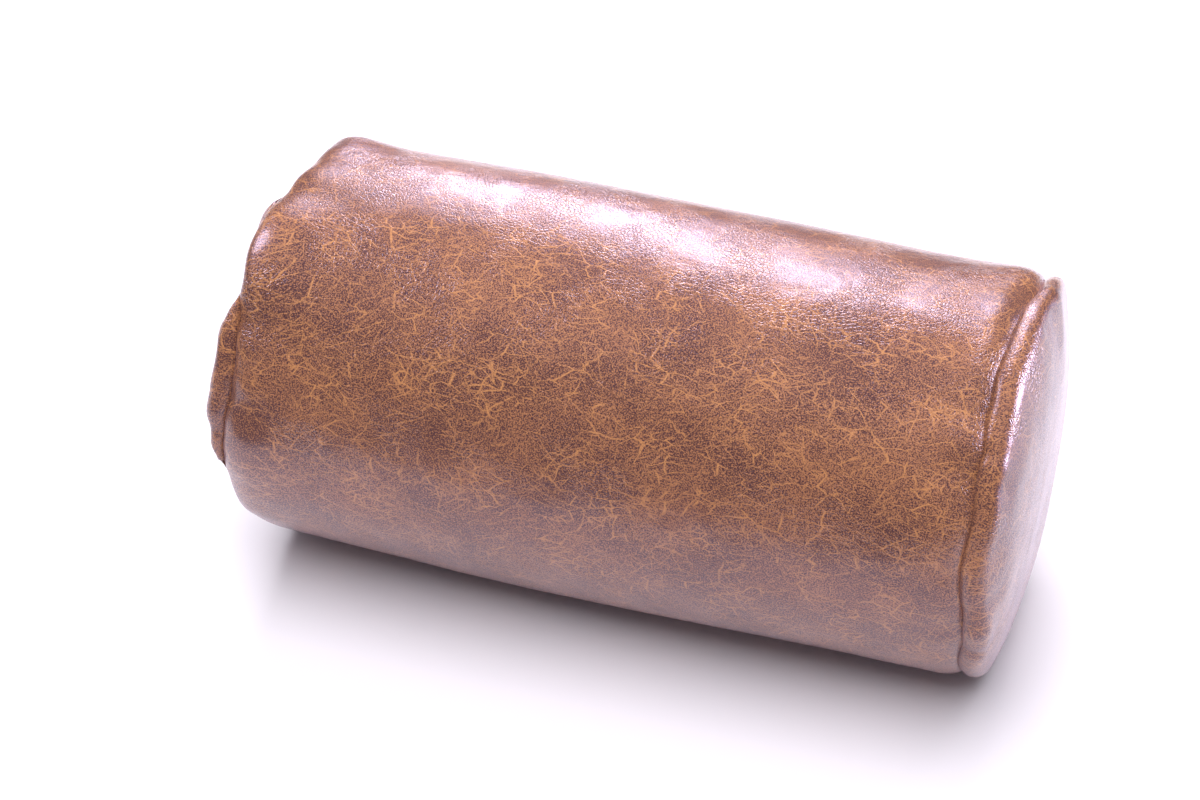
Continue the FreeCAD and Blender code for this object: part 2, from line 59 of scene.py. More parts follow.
stop_middle = (stop_low + stop_high) / 2
ZIP_PHI = math.atan2(stop_middle.z - AXIS_Z, stop_middle.y)
COIL_END_X = -stop_high.x

# ---------------------------------------------------------------- sizes of the cover, in metres
THICKNESS = 1.0 * MM
VALLEY_DEPTH = 5.4 * MM       # how deep the end seams lie
RIM_LENGTH = 11.0 * MM        # the tube's roll-over, along the roll
BEAD_DROP = 2.6 * MM          # the disc's bead, in from the tube's radius
BEAD_HALF = 3.6 * MM          # from the seam to the top of the bead, along the roll
TURN_ROUND = 4.5 * MM         # radius of the turn from the bead to the disc's face
TURN_ANGLE = math.radians(68)  # how far that turn goes
DOME_POWER = 3.4              # how flat the middle of the disc's dome is
ALLOWANCE = 8.0 * MM          # turned in at the end seams
SLOT_HALF = 5.5 * MM
HEM_WIDTH = 11.0 * MM         # the panel is double this far from the slot's edge
TOPSTITCH_FROM_EDGE = 2.8 * MM


# ---------------------------------------------------------------- the meridian
def build_meridian():
    """The cover's section from the roll's middle to a disc's centre, and the length at its end seam."""
    quarter = np.linspace(0, math.pi / 2, 40)
    rim_x = SEAM_X - RIM_LENGTH + RIM_LENGTH * np.sin(quarter)
    rim_r = RADIUS - VALLEY_DEPTH * (1 - np.cos(quarter))
    bead_r = RADIUS - BEAD_DROP
    rise = bead_r - (RADIUS - VALLEY_DEPTH)
    bead_x = SEAM_X + BEAD_HALF * (1 - np.cos(quarter))
    bead_up = RADIUS - VALLEY_DEPTH + rise * np.sin(quarter)
    turn = np.linspace(0, TURN_ANGLE, 30)
    turn_x = SEAM_X + BEAD_HALF + TURN_ROUND * np.sin(turn)
    turn_r = bead_r - TURN_ROUND * (1 - np.cos(turn))
    dome = turn_r[-1] / math.tan(TURN_ANGLE) / DOME_POWER
    face_r = np.linspace(turn_r[-1], 0, 60)
    face_x = turn_x[-1] + dome * (1 - (face_r / turn_r[-1]) ** DOME_POWER)
    x = np.concatenate([[0], rim_x, bead_x[1:], turn_x[1:], face_x[1:]])
    r = np.concatenate([[RADIUS], rim_r, bead_up[1:], turn_r[1:], face_r[1:]])
    t = np.concatenate([[0], np.cumsum(np.hypot(np.diff(x), np.diff(r)))])
    return t, x, r, t[len(rim_x)]


MERIDIAN_T, MERIDIAN_X, MERIDIAN_R, VALLEY_T = build_meridian()
POLE_T = MERIDIAN_T[-1]


def meridian_at(t):
    """x and radius of the undisturbed cover at signed lengths along its meridian."""
    x = np.sign(t) * np.interp(np.abs(t), MERIDIAN_T, MERIDIAN_X)
    return x, np.interp(np.abs(t), MERIDIAN_T, MERIDIAN_R)


def spaced(start, end, step):
    """Evenly spaced places from start to end, both included, about a step apart."""
    return np.linspace(start, end, max(2, round(abs(end - start) / step) + 1))


def chained(start, *stretches):
    """Places from start through each (end, step) stretch, evenly spaced within it."""
    places = [start]
    for end, step in stretches:
        places.extend(spaced(places[-1], end, step)[1:])
    return np.array(places)


def mirrored(half):
    """Places on both sides of 0, from those on one side."""
    return np.concatenate([-half[:0:-1], half])


def smooth_step(value):
    value = np.clip(value, 0, 1)
    return value * value * (3 - 2 * value)


def angle_gap(phi, centre):
    """Signed difference between angles, from -pi to pi."""
    return (phi - centre + math.pi) % (2 * math.pi) - math.pi


def periodic_curve(degrees_and_values, phi):
    """A smooth closed curve through (degrees, value) pairs, read at angles phi."""
    degrees, values = np.array(sorted(degrees_and_values), float).T
    at = np.degrees(phi) % 360
    degrees = np.concatenate([degrees - 360, degrees, degrees + 360])
    values = np.tile(values, 3)
    i = np.searchsorted(degrees, at, side="right") - 1
    share = smooth_step((at - degrees[i]) / (degrees[i + 1] - degrees[i]))
    return values[i] + (values[i + 1] - values[i]) * share


def ripples(t, phi, seed, count, round_range, along_range):
    """Even, repeatable unevenness: a sum of waves round and along the roll, about -1 to 1."""
    draw = np.random.default_rng(seed)
    total = np.zeros(np.broadcast(t, phi).shape)
    for _ in range(count):
        waves_round = draw.integers(*round_range)
        waves_along = draw.uniform(*along_range) / RADIUS
        phase = draw.uniform(0, 2 * math.pi)
        total += np.cos(waves_round * phi + waves_along * t + phase)
    return total / math.sqrt(count)


# ---------------------------------------------------------------- folds placed one by one
# Where each end seam strays along the roll, outwards positive: (degrees round the axis, mm).
SEAM_WANDER = {
    -1: [(20, 0.4), (48, 1.2), (60, 1.6), (78, 1.6), (92, 3.4), (106, 5.6), (118, 6.6), (130, 5.0),
         (140, 2.4), (150, 0.8), (160, 1.4), (170, 3.2), (180, 4.8), (191, 6.6), (206, 6.2), (235, 3.2),
         (262, -0.4), (292, 0.9), (325, -0.7), (350, 0.8)],
    1: [(15, -0.6), (40, 0.6), (62, 1.2), (73, 1.6), (84, -0.8), (98, -1.3), (112, -2.8), (122, -2.2),
        (133, -1.4), (141, -1.8), (151, -0.6), (163, -1.6), (174, -0.9), (183, 0.9), (196, 1.1),
        (212, -0.4), (240, 0.5), (270, -0.6), (300, 0.7), (330, -0.5)],
}
# Where the rim beside each end seam stands out from the roll or falls in: (degrees, mm).
RIM_SWELL = {
    -1: [(20, 0.2), (45, 0.6), (58, 1.3), (68, 0.6), (82, -0.6), (94, -0.5), (112, 1.0), (128, 0.3),
         (140, -0.6), (150, -0.2), (158, 0.5), (172, 1.2), (184, 1.5), (198, 0.4), (215, -0.4),
         (250, 0.0), (290, 0.4), (330, -0.4)],
    1: [(20, -0.2), (45, 0.3), (64, 0.7), (78, 0.2), (96, 0.1), (108, 0.5), (120, -0.3), (131, 0.4),
        (140, -0.5), (152, 0.4), (168, 0.2), (184, -0.5), (200, -1.1), (215, -0.9), (250, 0.0),
        (290, 0.3), (330, -0.3)],
}
# How far the disc's bead stands out from its seam, past its usual size: (degrees, mm).
BEAD_SWELL = {
    -1: [(20, -0.6), (60, -3.0), (90, -5.2), (104, -4.0), (112, -5.4), (126, -5.0), (138, -0.4), (150, 1.0),
         (168, 1.0), (182, 0.4), (192, -3.4), (202, -5.6), (225, -4.6), (260, -1.0), (310, 0.0)],
    1: [(20, -0.3), (50, 0.3), (66, 0.6), (80, 0.9), (100, -0.2), (118, 0.2), (130, -0.6), (137, 0.3),
        (150, 0.2), (168, -0.4), (180, 0.8), (190, 1.4), (201, 0.2), (214, -0.4), (260, 0.0), (310, 0.2)],
}


# How much of its usual crown each end disc has round its rim, as a share: (degrees, share).
DISC_CROWN = {
    -1: [(0, 0.45), (30, 0.4), (60, 0.1), (90, 0.1), (102, 0.5), (110, 0.5), (118, 0.15), (130, 0.3),
         (145, 0.9), (165, 1.05), (177, 0.7), (185, 0.1), (215, 0.05), (250, 0.3), (320, 0.5)],
    1: [(0, 0.75), (40, 0.8), (75, 0.95), (100, 1.0), (150, 1.0), (185, 1.0), (205, 1.0), (235, 0.9),
        (280, 0.8), (330, 0.75)],
}
POLE_CROWN = {-1: 0.7, 1: 0.9}  # the same share at the disc's centre
DOME_SHARE = {-1: 0.35, 1: 1.0}  # how much of the dome past the bead's turn each end has
# How much fuller or thinner the filling makes the roll: (x, added radius), both in mm.
GIRTH = [(-150, 0.4), (-120, 0.8), (-90, 1.5), (-60, 2.0), (-30, 1.8), (0, 1.2), (40, 0.6), (70, 0.0),
         (95, -0.6), (120, -0.6), (150, 0.0)]


def pucker(t, phi, end, panel, degrees, depth_mm, width_mm, reach_mm, lean=0.0):
    """How far a narrow ridge or dent that runs from an end seam into a panel lifts the surface.

    end is -1 left or 1 right; degrees is where it is; depth_mm is out or in; width_mm is across it;
    reach_mm is its length; lean is how many mm round it drifts per mm of its length.
    """
    along = (VALLEY_T - end * t) * (1 if panel == "tube" else -1)
    across = angle_gap(phi, math.radians(degrees)) * RADIUS - lean * along
    inside = (along > 0) & (np.sign(t) == end)
    start = smooth_step(along / (2.5 * MM))
    fade = np.exp(-(np.maximum(along, 0) / (reach_mm * MM)) ** 2)
    return inside * (depth_mm * MM) * start * fade * np.exp(-(across / (width_mm * MM)) ** 2)


# The puckers of each end and panel, as pucker() takes them: (degrees, depth, width, reach, lean).
PUCKERS = {
    (-1, "tube"): [(58, 1.2, 9, 22, 0.1), (78, -0.9, 10, 26, -0.2), (95, -1.5, 8, 26, 0.2),
        (117, 1.6, 20, 26), (137, -1.3, 7, 20, 0.2), (147, 0.7, 6, 16), (160, -0.8, 6, 18, 0.3),
        (174, 1.1, 9, 22), (191, -1.2, 6, 22, -0.3), (204, 0.8, 7, 16), (350, -0.9, 7, 22),
        (318, 0.8, 6, 18), (295, -0.9, 7, 20, 0.2), (36, -0.9, 6, 20)],
    (1, "tube"): [(63, 0.7, 6, 18), (76, -0.8, 6, 20, 0.2), (97, -0.6, 5, 16, -0.2), (113, 0.6, 5, 14),
        (124, -0.7, 5, 18), (139, -0.9, 3.5, 13, 0.1), (131, 0.5, 4, 12), (156, 0.6, 7, 18),
        (170, -0.7, 6, 20, -0.2), (186, -0.9, 7, 20, 0.2), (202, -0.8, 9, 24), (30, 0.7, 6, 18),
        (8, -0.8, 7, 22, 0.2), (335, 0.7, 6, 16), (300, -0.8, 7, 20)],
    (-1, "disc"): [(102, 0.7, 7, 12), (118, -0.6, 7, 14), (140, 0.7, 5, 12), (172, -1.0, 4, 14),
        (60, -0.9, 5, 14), (20, 0.8, 5, 12), (330, -0.9, 5, 14), (285, 0.7, 5, 12), (232, -0.8, 5, 14),
        (205, 0.7, 5, 12)],
    (1, "disc"): [(74, 0.8, 5, 10), (88, -0.6, 4, 12), (112, 0.4, 4, 10), (137, 1.0, 1.6, 3.5),
        (133, -0.7, 3, 8), (160, -0.6, 5, 12), (187, 1.3, 4, 12), (197, -1.3, 3, 14), (178, -0.8, 3, 10),
        (20, -0.7, 5, 14), (320, 0.6, 5, 12), (260, -0.6, 5, 12)],
}


def near_seam(t, reach):
    """1 at the end seams, falling to 0 over a reach on both sides."""
    return np.exp(-((np.abs(t) - VALLEY_T) / reach) ** 2)


def away_from_zip(t, phi):
    """0 along the zip, which keeps its strip of the cover even, rising to 1 elsewhere."""
    beside = smooth_step((np.abs(angle_gap(phi, ZIP_PHI)) * RADIUS - 12 * MM) / (18 * MM))
    beyond = smooth_step((np.abs(t) - ZIP_END_X + 2 * MM) / (12 * MM))
    return np.maximum(beside, beyond)


def crown_share(end, r, phi):
    """How much of its crown an end disc has at a radius and angle."""
    at_rim = periodic_curve(DISC_CROWN[end], phi)
    return POLE_CROWN[end] + (at_rim - POLE_CROWN[end]) * smooth_step((r / RADIUS - 0.42) / 0.5)


def girth_at(x):
    """How much fuller or thinner than the nominal radius the filling makes the roll, at places along it."""
    places, swell = np.array(GIRTH).T * MM
    return np.interp(x, places, swell)


WANDER_REACH = 16 * MM
SWELL_FROM_SEAM = 8 * MM
SWELL_REACH = 15 * MM
BEAD_FROM_SEAM = 6 * MM
BEAD_REACH = 6.5 * MM
BEAD_ALONG, BEAD_AWAY = 0.8, 0.5    # shares of a bead's swell along the roll and away from its axis
TUBE_UNEVENNESS = 0.38 * MM
FACE_UNEVENNESS = 0.35 * MM


def drawn_cover(t, phi):
    """The cover's points with its folds, before it settles: t and phi are arrays that broadcast."""
    t, phi = np.broadcast_arrays(t, phi)
    free = away_from_zip(t, phi)
    x, r = meridian_at(t)
    for end in (-1, 1):
        this_end = np.sign(t) == end
        past_seam_x = this_end * np.maximum(end * x - SEAM_X, 0)
        dome = np.maximum(past_seam_x - BEAD_HALF - TURN_ROUND, 0)
        kept = (past_seam_x - dome * (1 - DOME_SHARE[end])) * crown_share(end, r, phi)
        x = x - end * (past_seam_x - kept)
        wander = periodic_curve(SEAM_WANDER[end], phi) * MM
        x = x + this_end * end * wander * near_seam(t, WANDER_REACH)
        swell = periodic_curve(RIM_SWELL[end], phi) * MM
        from_rim = VALLEY_T - end * t - SWELL_FROM_SEAM
        r = r + free * this_end * swell * np.exp(-(from_rim / SWELL_REACH) ** 2)
        bead = periodic_curve(BEAD_SWELL[end], phi) * MM
        from_bead = end * t - VALLEY_T - BEAD_FROM_SEAM
        bead_here = this_end * bead * np.exp(-(from_bead / BEAD_REACH) ** 2)
        x = x + end * bead_here * BEAD_ALONG
        r = r + bead_here * BEAD_AWAY
    lift = free * sum(pucker(t, phi, end, panel, *numbers)
                      for (end, panel), rows in PUCKERS.items() for numbers in rows)
    on_face = smooth_step((np.abs(t) - VALLEY_T - 5 * MM) / (8 * MM))
    r = r + lift * (1 - on_face)
    x = x + np.sign(t) * lift * on_face
    middle = 1 - near_seam(t, 10 * MM)
    r = r + free * middle * (1 - on_face) * girth_at(x)
    r = r + TUBE_UNEVENNESS * free * middle * (1 - on_face) * ripples(t, phi, 11, 14, (2, 8), (0.6, 3.2))
    face_rim = smooth_step((r - 6 * MM) / (20 * MM))
    x = x + np.sign(t) * FACE_UNEVENNESS * on_face * face_rim * ripples(t, phi, 23, 8, (2, 5), (0.5, 2.0))
    return np.stack([x, r * np.cos(phi), AXIS_Z + r * np.sin(phi)], axis=-1)


# ---------------------------------------------------------------- cloth simulation of the whole cover
SIM_COLUMNS = 150
SIM_FINE_STEP = 2.0 * MM      # between rows, near the end seams
SIM_WIDE_STEP = 3.4 * MM      # and elsewhere
SIM_FRAMES = 18
SIM_MOST = 3.2 * MM           # the furthest that the simulation may move a point
SIM_EXTRA_CLOTH = 0.02        # slack cloth beside the end seams, which gathers into puckers
SIM_SETTINGS = {
    "quality": 5, "mass": 0.3, "tension_stiffness": 40, "compression_stiffness": 40,
    "shear_stiffness": 20, "bending_stiffness": 1.0, "tension_damping": 10, "compression_damping": 10,
    "shear_damping": 10, "air_damping": 2, "use_pressure": True, "uniform_pressure_force": 3.0,
    "vertex_group_mass": "held", "pin_stiffness": 1.0, "vertex_group_shrink": "slack",
    "shrink_min": 0.0, "shrink_max": -SIM_EXTRA_CLOTH,
}


def grid_faces(rows, columns):
    """Quads of a grid that closes on itself across its columns."""
    row = np.arange(rows - 1)[:, None]
    column = np.arange(columns)[None, :]
    after = (column + 1) % columns
    corners = [row * columns + column, row * columns + after,
               (row + 1) * columns + after, (row + 1) * columns + column]
    return np.stack([np.broadcast_to(c, (rows - 1, columns)) for c in corners], axis=-1).reshape(-1, 4)


def simulate_cover(rows_t, columns_phi):
    """How far each point of a coarse cover moves when the filling presses it out from inside."""
    rest = drawn_cover(rows_t[:, None], columns_phi[None, :])
    row_count, column_count = rest.shape[:2]
    poles = [drawn_cover(np.array(side * POLE_T), np.array(0.0)) for side in (-1, 1)]
    points = np.concatenate([rest.reshape(-1, 3), poles])
    faces = grid_faces(row_count, column_count).tolist()
    left_pole, right_pole = len(points) - 2, len(points) - 1
    last_row = (row_count - 1) * column_count
    for j in range(column_count):
        after = (j + 1) % column_count
        faces.append([left_pole, after, j])
        faces.append([right_pole, last_row + j, last_row + after])
    mesh = bpy.data.meshes.new("cover_cloth")
    mesh.from_pydata(points.tolist(), [], faces)
    cloth_object = bpy.data.objects.new("cover_cloth", mesh)
    bpy.context.scene.collection.objects.link(cloth_object)

    slack = cloth_object.vertex_groups.new(name="slack")
    held = cloth_object.vertex_groups.new(name="held")
    slack_share = near_seam(rows_t, 12 * MM)
    held_share = near_seam(rows_t, 1.2 * MM)
    for i in range(row_count):
        members = list(range(i * column_count, (i + 1) * column_count))
        slack.add(members, float(slack_share[i]), "REPLACE")
        held.add(members, float(held_share[i]), "REPLACE")

    cloth = cloth_object.modifiers.new("cloth", "CLOTH")
    for key, value in SIM_SETTINGS.items():
        setattr(cloth.settings, key, value)
    cloth.settings.effector_weights.gravity = 0
    cloth.collision_settings.use_collision = False
    cloth.collision_settings.use_self_collision = False
    cloth.point_cache.frame_start = 1
    cloth.point_cache.frame_end = SIM_FRAMES

    scene = bpy.context.scene
    for number in range(1, SIM_FRAMES + 1):
        scene.frame_set(number)
    relaxed = cloth_object.evaluated_get(bpy.context.evaluated_depsgraph_get()).to_mesh()
    moved = np.empty(len(points) * 3)
    relaxed.vertices.foreach_get("co", moved)
    moved = moved.reshape(-1, 3) - points
    scene.frame_set(1)
    bpy.data.objects.remove(cloth_object)
    bpy.data.meshes.remove(mesh)

    moved = moved[:-2].reshape(row_count, column_count, 3)
    for pole_row in (0, 1, -2, -1):
        moved[pole_row] = moved[pole_row].mean(axis=0)
    length = np.linalg.norm(moved, axis=-1, keepdims=True)
    return moved * np.minimum(1, SIM_MOST / np.maximum(length, 1e-9))


SIM_T = mirrored(chained(0, (VALLEY_T - 16 * MM, SIM_WIDE_STEP), (VALLEY_T, SIM_FINE_STEP),
                         (VALLEY_T + 20 * MM, SIM_FINE_STEP), (POLE_T - 4 * MM, SIM_WIDE_STEP)))
SIM_PHI = np.arange(SIM_COLUMNS) * 2 * math.pi / SIM_COLUMNS
cloth_moves = simulate_cover(SIM_T, SIM_PHI)


def cubic_shares(u):
    """Weights of four neighbours for a smooth curve through the middle two."""
    return [(-u + 2 * u ** 2 - u ** 3) / 2, (2 - 5 * u ** 2 + 3 * u ** 3) / 2,
            (u + 4 * u ** 2 - 3 * u ** 3) / 2, (-u ** 2 + u ** 3) / 2]


def cloth_move_at(t, phi):
    """The simulation's movement, read smoothly between its points."""
    row = np.interp(t, SIM_T, np.arange(len(SIM_T)))
    column = (phi % (2 * math.pi)) / (2 * math.pi) * SIM_COLUMNS
    i, j = np.floor(row).astype(int), np.floor(column).astype(int)
    total = np.zeros(row.shape + (3,))
    for a, row_share in enumerate(cubic_shares(row - i)):
        at_row = np.clip(i + a - 1, 0, len(SIM_T) - 1)
        for b, column_share in enumerate(cubic_shares(column - j)):
            at_column = (j + b - 1) % SIM_COLUMNS
            total += (row_share * column_share)[..., None] * cloth_moves[at_row, at_column]
    return total


CONTACT_SOFTNESS = 1.6 * MM


def settled(points):
    """The roll's weight presses what would be below the surface flat against it."""
    z = points[..., 2]
    points = points.copy()
    points[..., 2] = (z + np.sqrt(z ** 2 + CONTACT_SOFTNESS ** 2)) / 2
    return points


HEM_RISE = 0.45 * MM
GROOVE_DEPTH = 0.32 * MM
GROOVE_HALF = 0.6 * MM
EDGE_DROP = 0.45 * MM
EDGE_REACH = 0.55 * MM
SEAM_LINE_DEPTH = 1.2 * MM
SEAM_LINE_HALF = 0.9 * MM


def zip_relief(t, phi):
    """The cover's doubled hems, stitch grooves and closed seam round the zip, as lifts along the radius."""
    across = np.abs(angle_gap(phi, ZIP_PHI)) * RADIUS
    past_slot = np.abs(t) - ZIP_END_X
    beside = across - SLOT_HALF
    distance = np.hypot(np.maximum(beside, 0), np.maximum(past_slot, 0))
    hem_end = 1 - smooth_step((np.abs(t) - VALLEY_T + 12 * MM) / (8 * MM))
    hem = HEM_RISE * (1 - smooth_step((across - SLOT_HALF - HEM_WIDTH) / (2.5 * MM))) * hem_end
    in_slot = 1 - smooth_step(past_slot / (1.5 * MM))
    groove = -GROOVE_DEPTH * np.exp(-((beside - TOPSTITCH_FROM_EDGE) / GROOVE_HALF) ** 2) * in_slot
    roll_over = -EDGE_DROP * np.exp(-distance / EDGE_REACH) * in_slot
    closed = smooth_step(past_slot / (1.5 * MM))
    seam_line = -SEAM_LINE_DEPTH * np.exp(-(across / SEAM_LINE_HALF) ** 2) * closed
    return hem + groove + roll_over + seam_line


def shaped_cover(t, phi):
    """The cover with its folds, after the simulation and before the zip's relief and the flat below."""
    t, phi = np.broadcast_arrays(t, phi)
    return drawn_cover(t, phi) + away_from_zip(t, phi)[..., None] * cloth_move_at(t, phi)


def cover_points(t, phi):
    """The finished outside of the cover."""
    t, phi = np.broadcast_arrays(t, phi)
    points = shaped_cover(t, phi)
    lift = np.where(np.abs(t) < VALLEY_T - 0.5 * MM, zip_relief(t, phi), 0)
    points[..., 1] += lift * np.cos(phi)
    points[..., 2] += lift * np.sin(phi)
    return settled(points)


def dent_at(t, phi):
    """How far the shaped cover lies inside its even form, along the radius: 0 or less."""
    points = shaped_cover(t, phi)
    radius = np.hypot(points[..., 1], points[..., 2] - AXIS_Z)
    return np.minimum(radius - meridian_at(np.broadcast_arrays(t, phi)[0])[1], 0)


def pulled_in(points, depth):
    """Points moved towards the roll's axis."""
    moved = points.copy()
    from_axis = points[..., 1:] - np.array([0, AXIS_Z])
    radius = np.linalg.norm(from_axis, axis=-1, keepdims=True)
    moved[..., 1:] = np.array([0, AXIS_Z]) + from_axis * (radius - depth) / radius
    return moved


# ---------------------------------------------------------------- making Blender objects
def new_object(name, points, faces, material, uv=None, uv_round=None):
    """A smooth mesh object, made of the points that its faces use, that rides on the roll.

    uv gives each point its place in metres of flat material.  Where the material goes round the roll,
    uv_round is how far round that is, so that the four-cornered faces at its join don't span it all.
    """
    points = np.asarray(points, float).reshape(-1, 3)
    used = sorted({index for face in faces for index in face})
    number = {index: n for n, index in enumerate(used)}
    mesh = bpy.data.meshes.new(name)
    mesh.from_pydata(points[used].tolist(), [], [[number[i] for i in face] for face in faces])
    mesh.materials.append(material)
    mesh.shade_smooth()
    if uv is not None:
        corners = [index for face in faces for index in face]
        corner_uv = np.asarray(uv).reshape(-1, 2)[corners]
        if uv_round is not None:
            round_it = corner_uv[:, 1].reshape(-1, 4)
            round_it += uv_round * (round_it < round_it.max(axis=1, keepdims=True) - uv_round / 2)
        mesh.uv_layers.new(name="cloth").data.foreach_set("uv", corner_uv.ravel())
    made = bpy.data.objects.new(name, mesh)
    bpy.context.scene.collection.objects.link(made)
    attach(made, "roll")
    return made


def turn_outwards(made):
    """Make all the faces of a closed mesh face outwards."""
    work = bmesh.new()
    work.from_mesh(made.data)
    bmesh.ops.recalc_face_normals(work, faces=work.faces)
    work.to_mesh(made.data)
    work.free()


def thicken(made, thickness):
    """Give a sheet its thickness, inwards from its outer face."""
    solid = made.modifiers.new("thickness", "SOLIDIFY")
    solid.thickness = thickness
    solid.offset = -1


def cap_faces(row, centre, columns, flip):
    """A fan of triangles that closes the end of a grid: row is the number of its first point."""
    fan = [[centre, row + (j + 1) % columns, row + j] for j in range(columns)]
    return [face[::-1] for face in fan] if flip else fan


STRAND_SIDES = 6


class Strand:
    """Collects round threads, wires and bars swept along paths into one mesh."""

    def __init__(self):
        self.points = []
        self.faces = []

    def add_rings(self, rings):
        """Join rings of points, one after the other, into a closed bar."""
        count, sides = rings.shape[:2]
        start = len(self.points)
        self.points.extend(rings.reshape(-1, 3).tolist())
        for here in range(start, start + (count - 1) * sides, sides):
            there = here + sides
            for k in range(sides):
                after = (k + 1) % sides
                self.faces.append([here + k, here + after, there + after, there + k])
        self.faces.append([start + k for k in range(sides)][::-1])
        self.faces.append([start + (count - 1) * sides + k for k in range(sides)])

    def sweep(self, path, radius, up=(0.0, 0.0, 1.0)):
        """Sweep a round section along a path of points; up isn't along the path anywhere."""
        path = np.asarray(path, float)
        tangents = np.gradient(path, axis=0)
        tangents /= np.maximum(np.linalg.norm(tangents, axis=1, keepdims=True), 1e-12)
        side = np.cross(tangents, np.broadcast_to(np.asarray(up, float), path.shape))
        side /= np.maximum(np.linalg.norm(side, axis=1, keepdims=True), 1e-12)
        over = np.cross(side, tangents)
        angles = np.arange(STRAND_SIDES) * 2 * math.pi / STRAND_SIDES
        radii = np.broadcast_to(np.asarray(radius, float), (len(path),))[:, None, None]
        ring = (np.cos(angles)[None, :, None] * side[:, None, :]
                + np.sin(angles)[None, :, None] * over[:, None, :])
        self.add_rings(path[:, None, :] + radii * ring)

    def finish(self, name, material):
        made = new_object(name, self.points, self.faces, material)
        turn_outwards(made)
        return made


# ---------------------------------------------------------------- materials
class Shader:
    """A node material with a Principled shader, and short ways to add its nodes."""

    def __init__(self, name):
        self.material = bpy.data.materials.new(name)
        self.material.use_nodes = True
        self.tree = self.material.node_tree
        self.surface = self.tree.nodes["Principled BSDF"]
        self.column = 0

    def node(self, kind, inputs=None, **settings):
        """Add a node; each input is a number, a colour, or another node's output."""
        made = self.tree.nodes.new(kind)
        self.column += 1
        made.location = (-200 * self.column, -60 * (self.column % 5))
        for key, value in settings.items():
            setattr(made, key, value)
        for key, value in (inputs or {}).items():
            self.put(made.inputs[key], value)
        return made

    def put(self, socket, value):
        if isinstance(value, bpy.types.NodeSocket):
            self.tree.links.new(value, socket)
        else:
            socket.default_value = value

    def place_in_mm(self):
        """The place in the piece, in millimetres."""
        place = self.node("ShaderNodeTexCoord").outputs["Object"]
        return self.vector("SCALE", place, scale=1 / MM)

    def cloth_in_mm(self):
        """The place on the flat cloth, in millimetres."""
        place = self.node("ShaderNodeUVMap", uv_map="cloth").outputs["UV"]
        return self.vector("SCALE", place, scale=1 / MM)

    def vector(self, operation, first, second=None, scale=None):
        made = self.node("ShaderNodeVectorMath", {0: first}, operation=operation)
        if second is not None:
            self.put(made.inputs[1], second)
        if scale is not None:
            self.put(made.inputs["Scale"], scale)
        return made.outputs["Vector"]

    def maths(self, operation, first, second, third=0.0):
        made = self.node("ShaderNodeMath", {0: first, 1: second, 2: third}, operation=operation)
        return made.outputs["Value"]

    def noise(self, place, size, detail=2.0, roughness=0.5, distortion=0.0, output="Fac"):
        """Noise whose features are about a size across, in the units of the place."""
        inputs = {"Vector": place, "Scale": 1 / size, "Detail": detail, "Roughness": roughness,
                  "Distortion": distortion}
        return self.node("ShaderNodeTexNoise", inputs).outputs[output]

    def cells(self, place, size, feature="F1", dimensions="2D"):
        """Cells about a size across, on the flat material or through a solid."""
        made = self.node("ShaderNodeTexVoronoi", feature=feature, voronoi_dimensions=dimensions)
        self.put(made.inputs["Vector"], place)
        self.put(made.inputs["Scale"], 1 / size)
        return made.outputs["Distance"]

    def waves(self, place, size, direction, distortion=0.0):
        inputs = {"Vector": place, "Scale": math.pi / (10 * size), "Distortion": distortion}
        return self.node("ShaderNodeTexWave", inputs, bands_direction=direction).outputs["Fac"]

    def between(self, value, low, high, to_low=0.0, to_high=1.0):
        """A value eased from one range to another, held at its ends."""
        inputs = {"Value": value, "From Min": low, "From Max": high, "To Min": to_low, "To Max": to_high}
        made = self.node("ShaderNodeMapRange", inputs, interpolation_type="SMOOTHSTEP")
        return made.outputs["Result"]

    def mixed(self, share, first, second):
        """A mix of two colours."""
        made = self.node("ShaderNodeMix", data_type="RGBA")
        self.put(made.inputs["Factor"], share)
        self.put(made.inputs["A"], first)
        self.put(made.inputs["B"], second)
        return made.outputs["Result"]

    def warped(self, place, size, amount, detail=2.0):
        """A place moved about by noise, so that a pattern read there runs unevenly."""
        shift = self.noise(place, size, detail, output="Color")
        centred = self.vector("SUBTRACT", shift, (0.5, 0.5, 0.5))
        return self.vector("ADD", place, self.vector("SCALE", centred, scale=amount))

    def bump(self, height, distance, normal=None):
        """Raise the surface by a height from 0 to 1 over a distance in metres."""
        made = self.node("ShaderNodeBump", {"Height": height, "Distance": distance, "Strength": 1.0})
        if normal is not None:
            self.put(made.inputs["Normal"], normal)
        return made.outputs["Normal"]

    def finish(self, **inputs):
        """Set the Principled shader's inputs, by their names with _ for a space."""
        for key, value in inputs.items():
            self.put(self.surface.inputs[key.replace("_", " ")], value)
        return self.material


def colour(red, green, blue):
    """A colour given as sRGB values from 0 to 255."""
    def linear(value):
        share = value / 255
        return share / 12.92 if share <= 0.04045 else ((share + 0.055) / 1.055) ** 2.4
    return (linear(red), linear(green), linear(blue), 1.0)


# The crackle's layers: direction in degrees, cell size in mm, share of that size left across its
# direction, shift in mm that tells it from the other layers, and strength.
CRACKLE_LAYERS = [(-16, 5.0, 0.34, 0.0, 1.0), (22, 5.4, 0.34, 410.0, 0.9), (3, 3.6, 0.36, 1200.0, 0.9),
                  (58, 5.0, 0.40, 170.0, 0.6), (98, 5.5, 0.45, 640.0, 0.45), (-42, 5.0, 0.40, 880.0, 0.65)]
CRACKLE_WIDTH = 0.24          # mm
CRACKLE_BUNDLE = 17.0         # mm across a bundle of lines


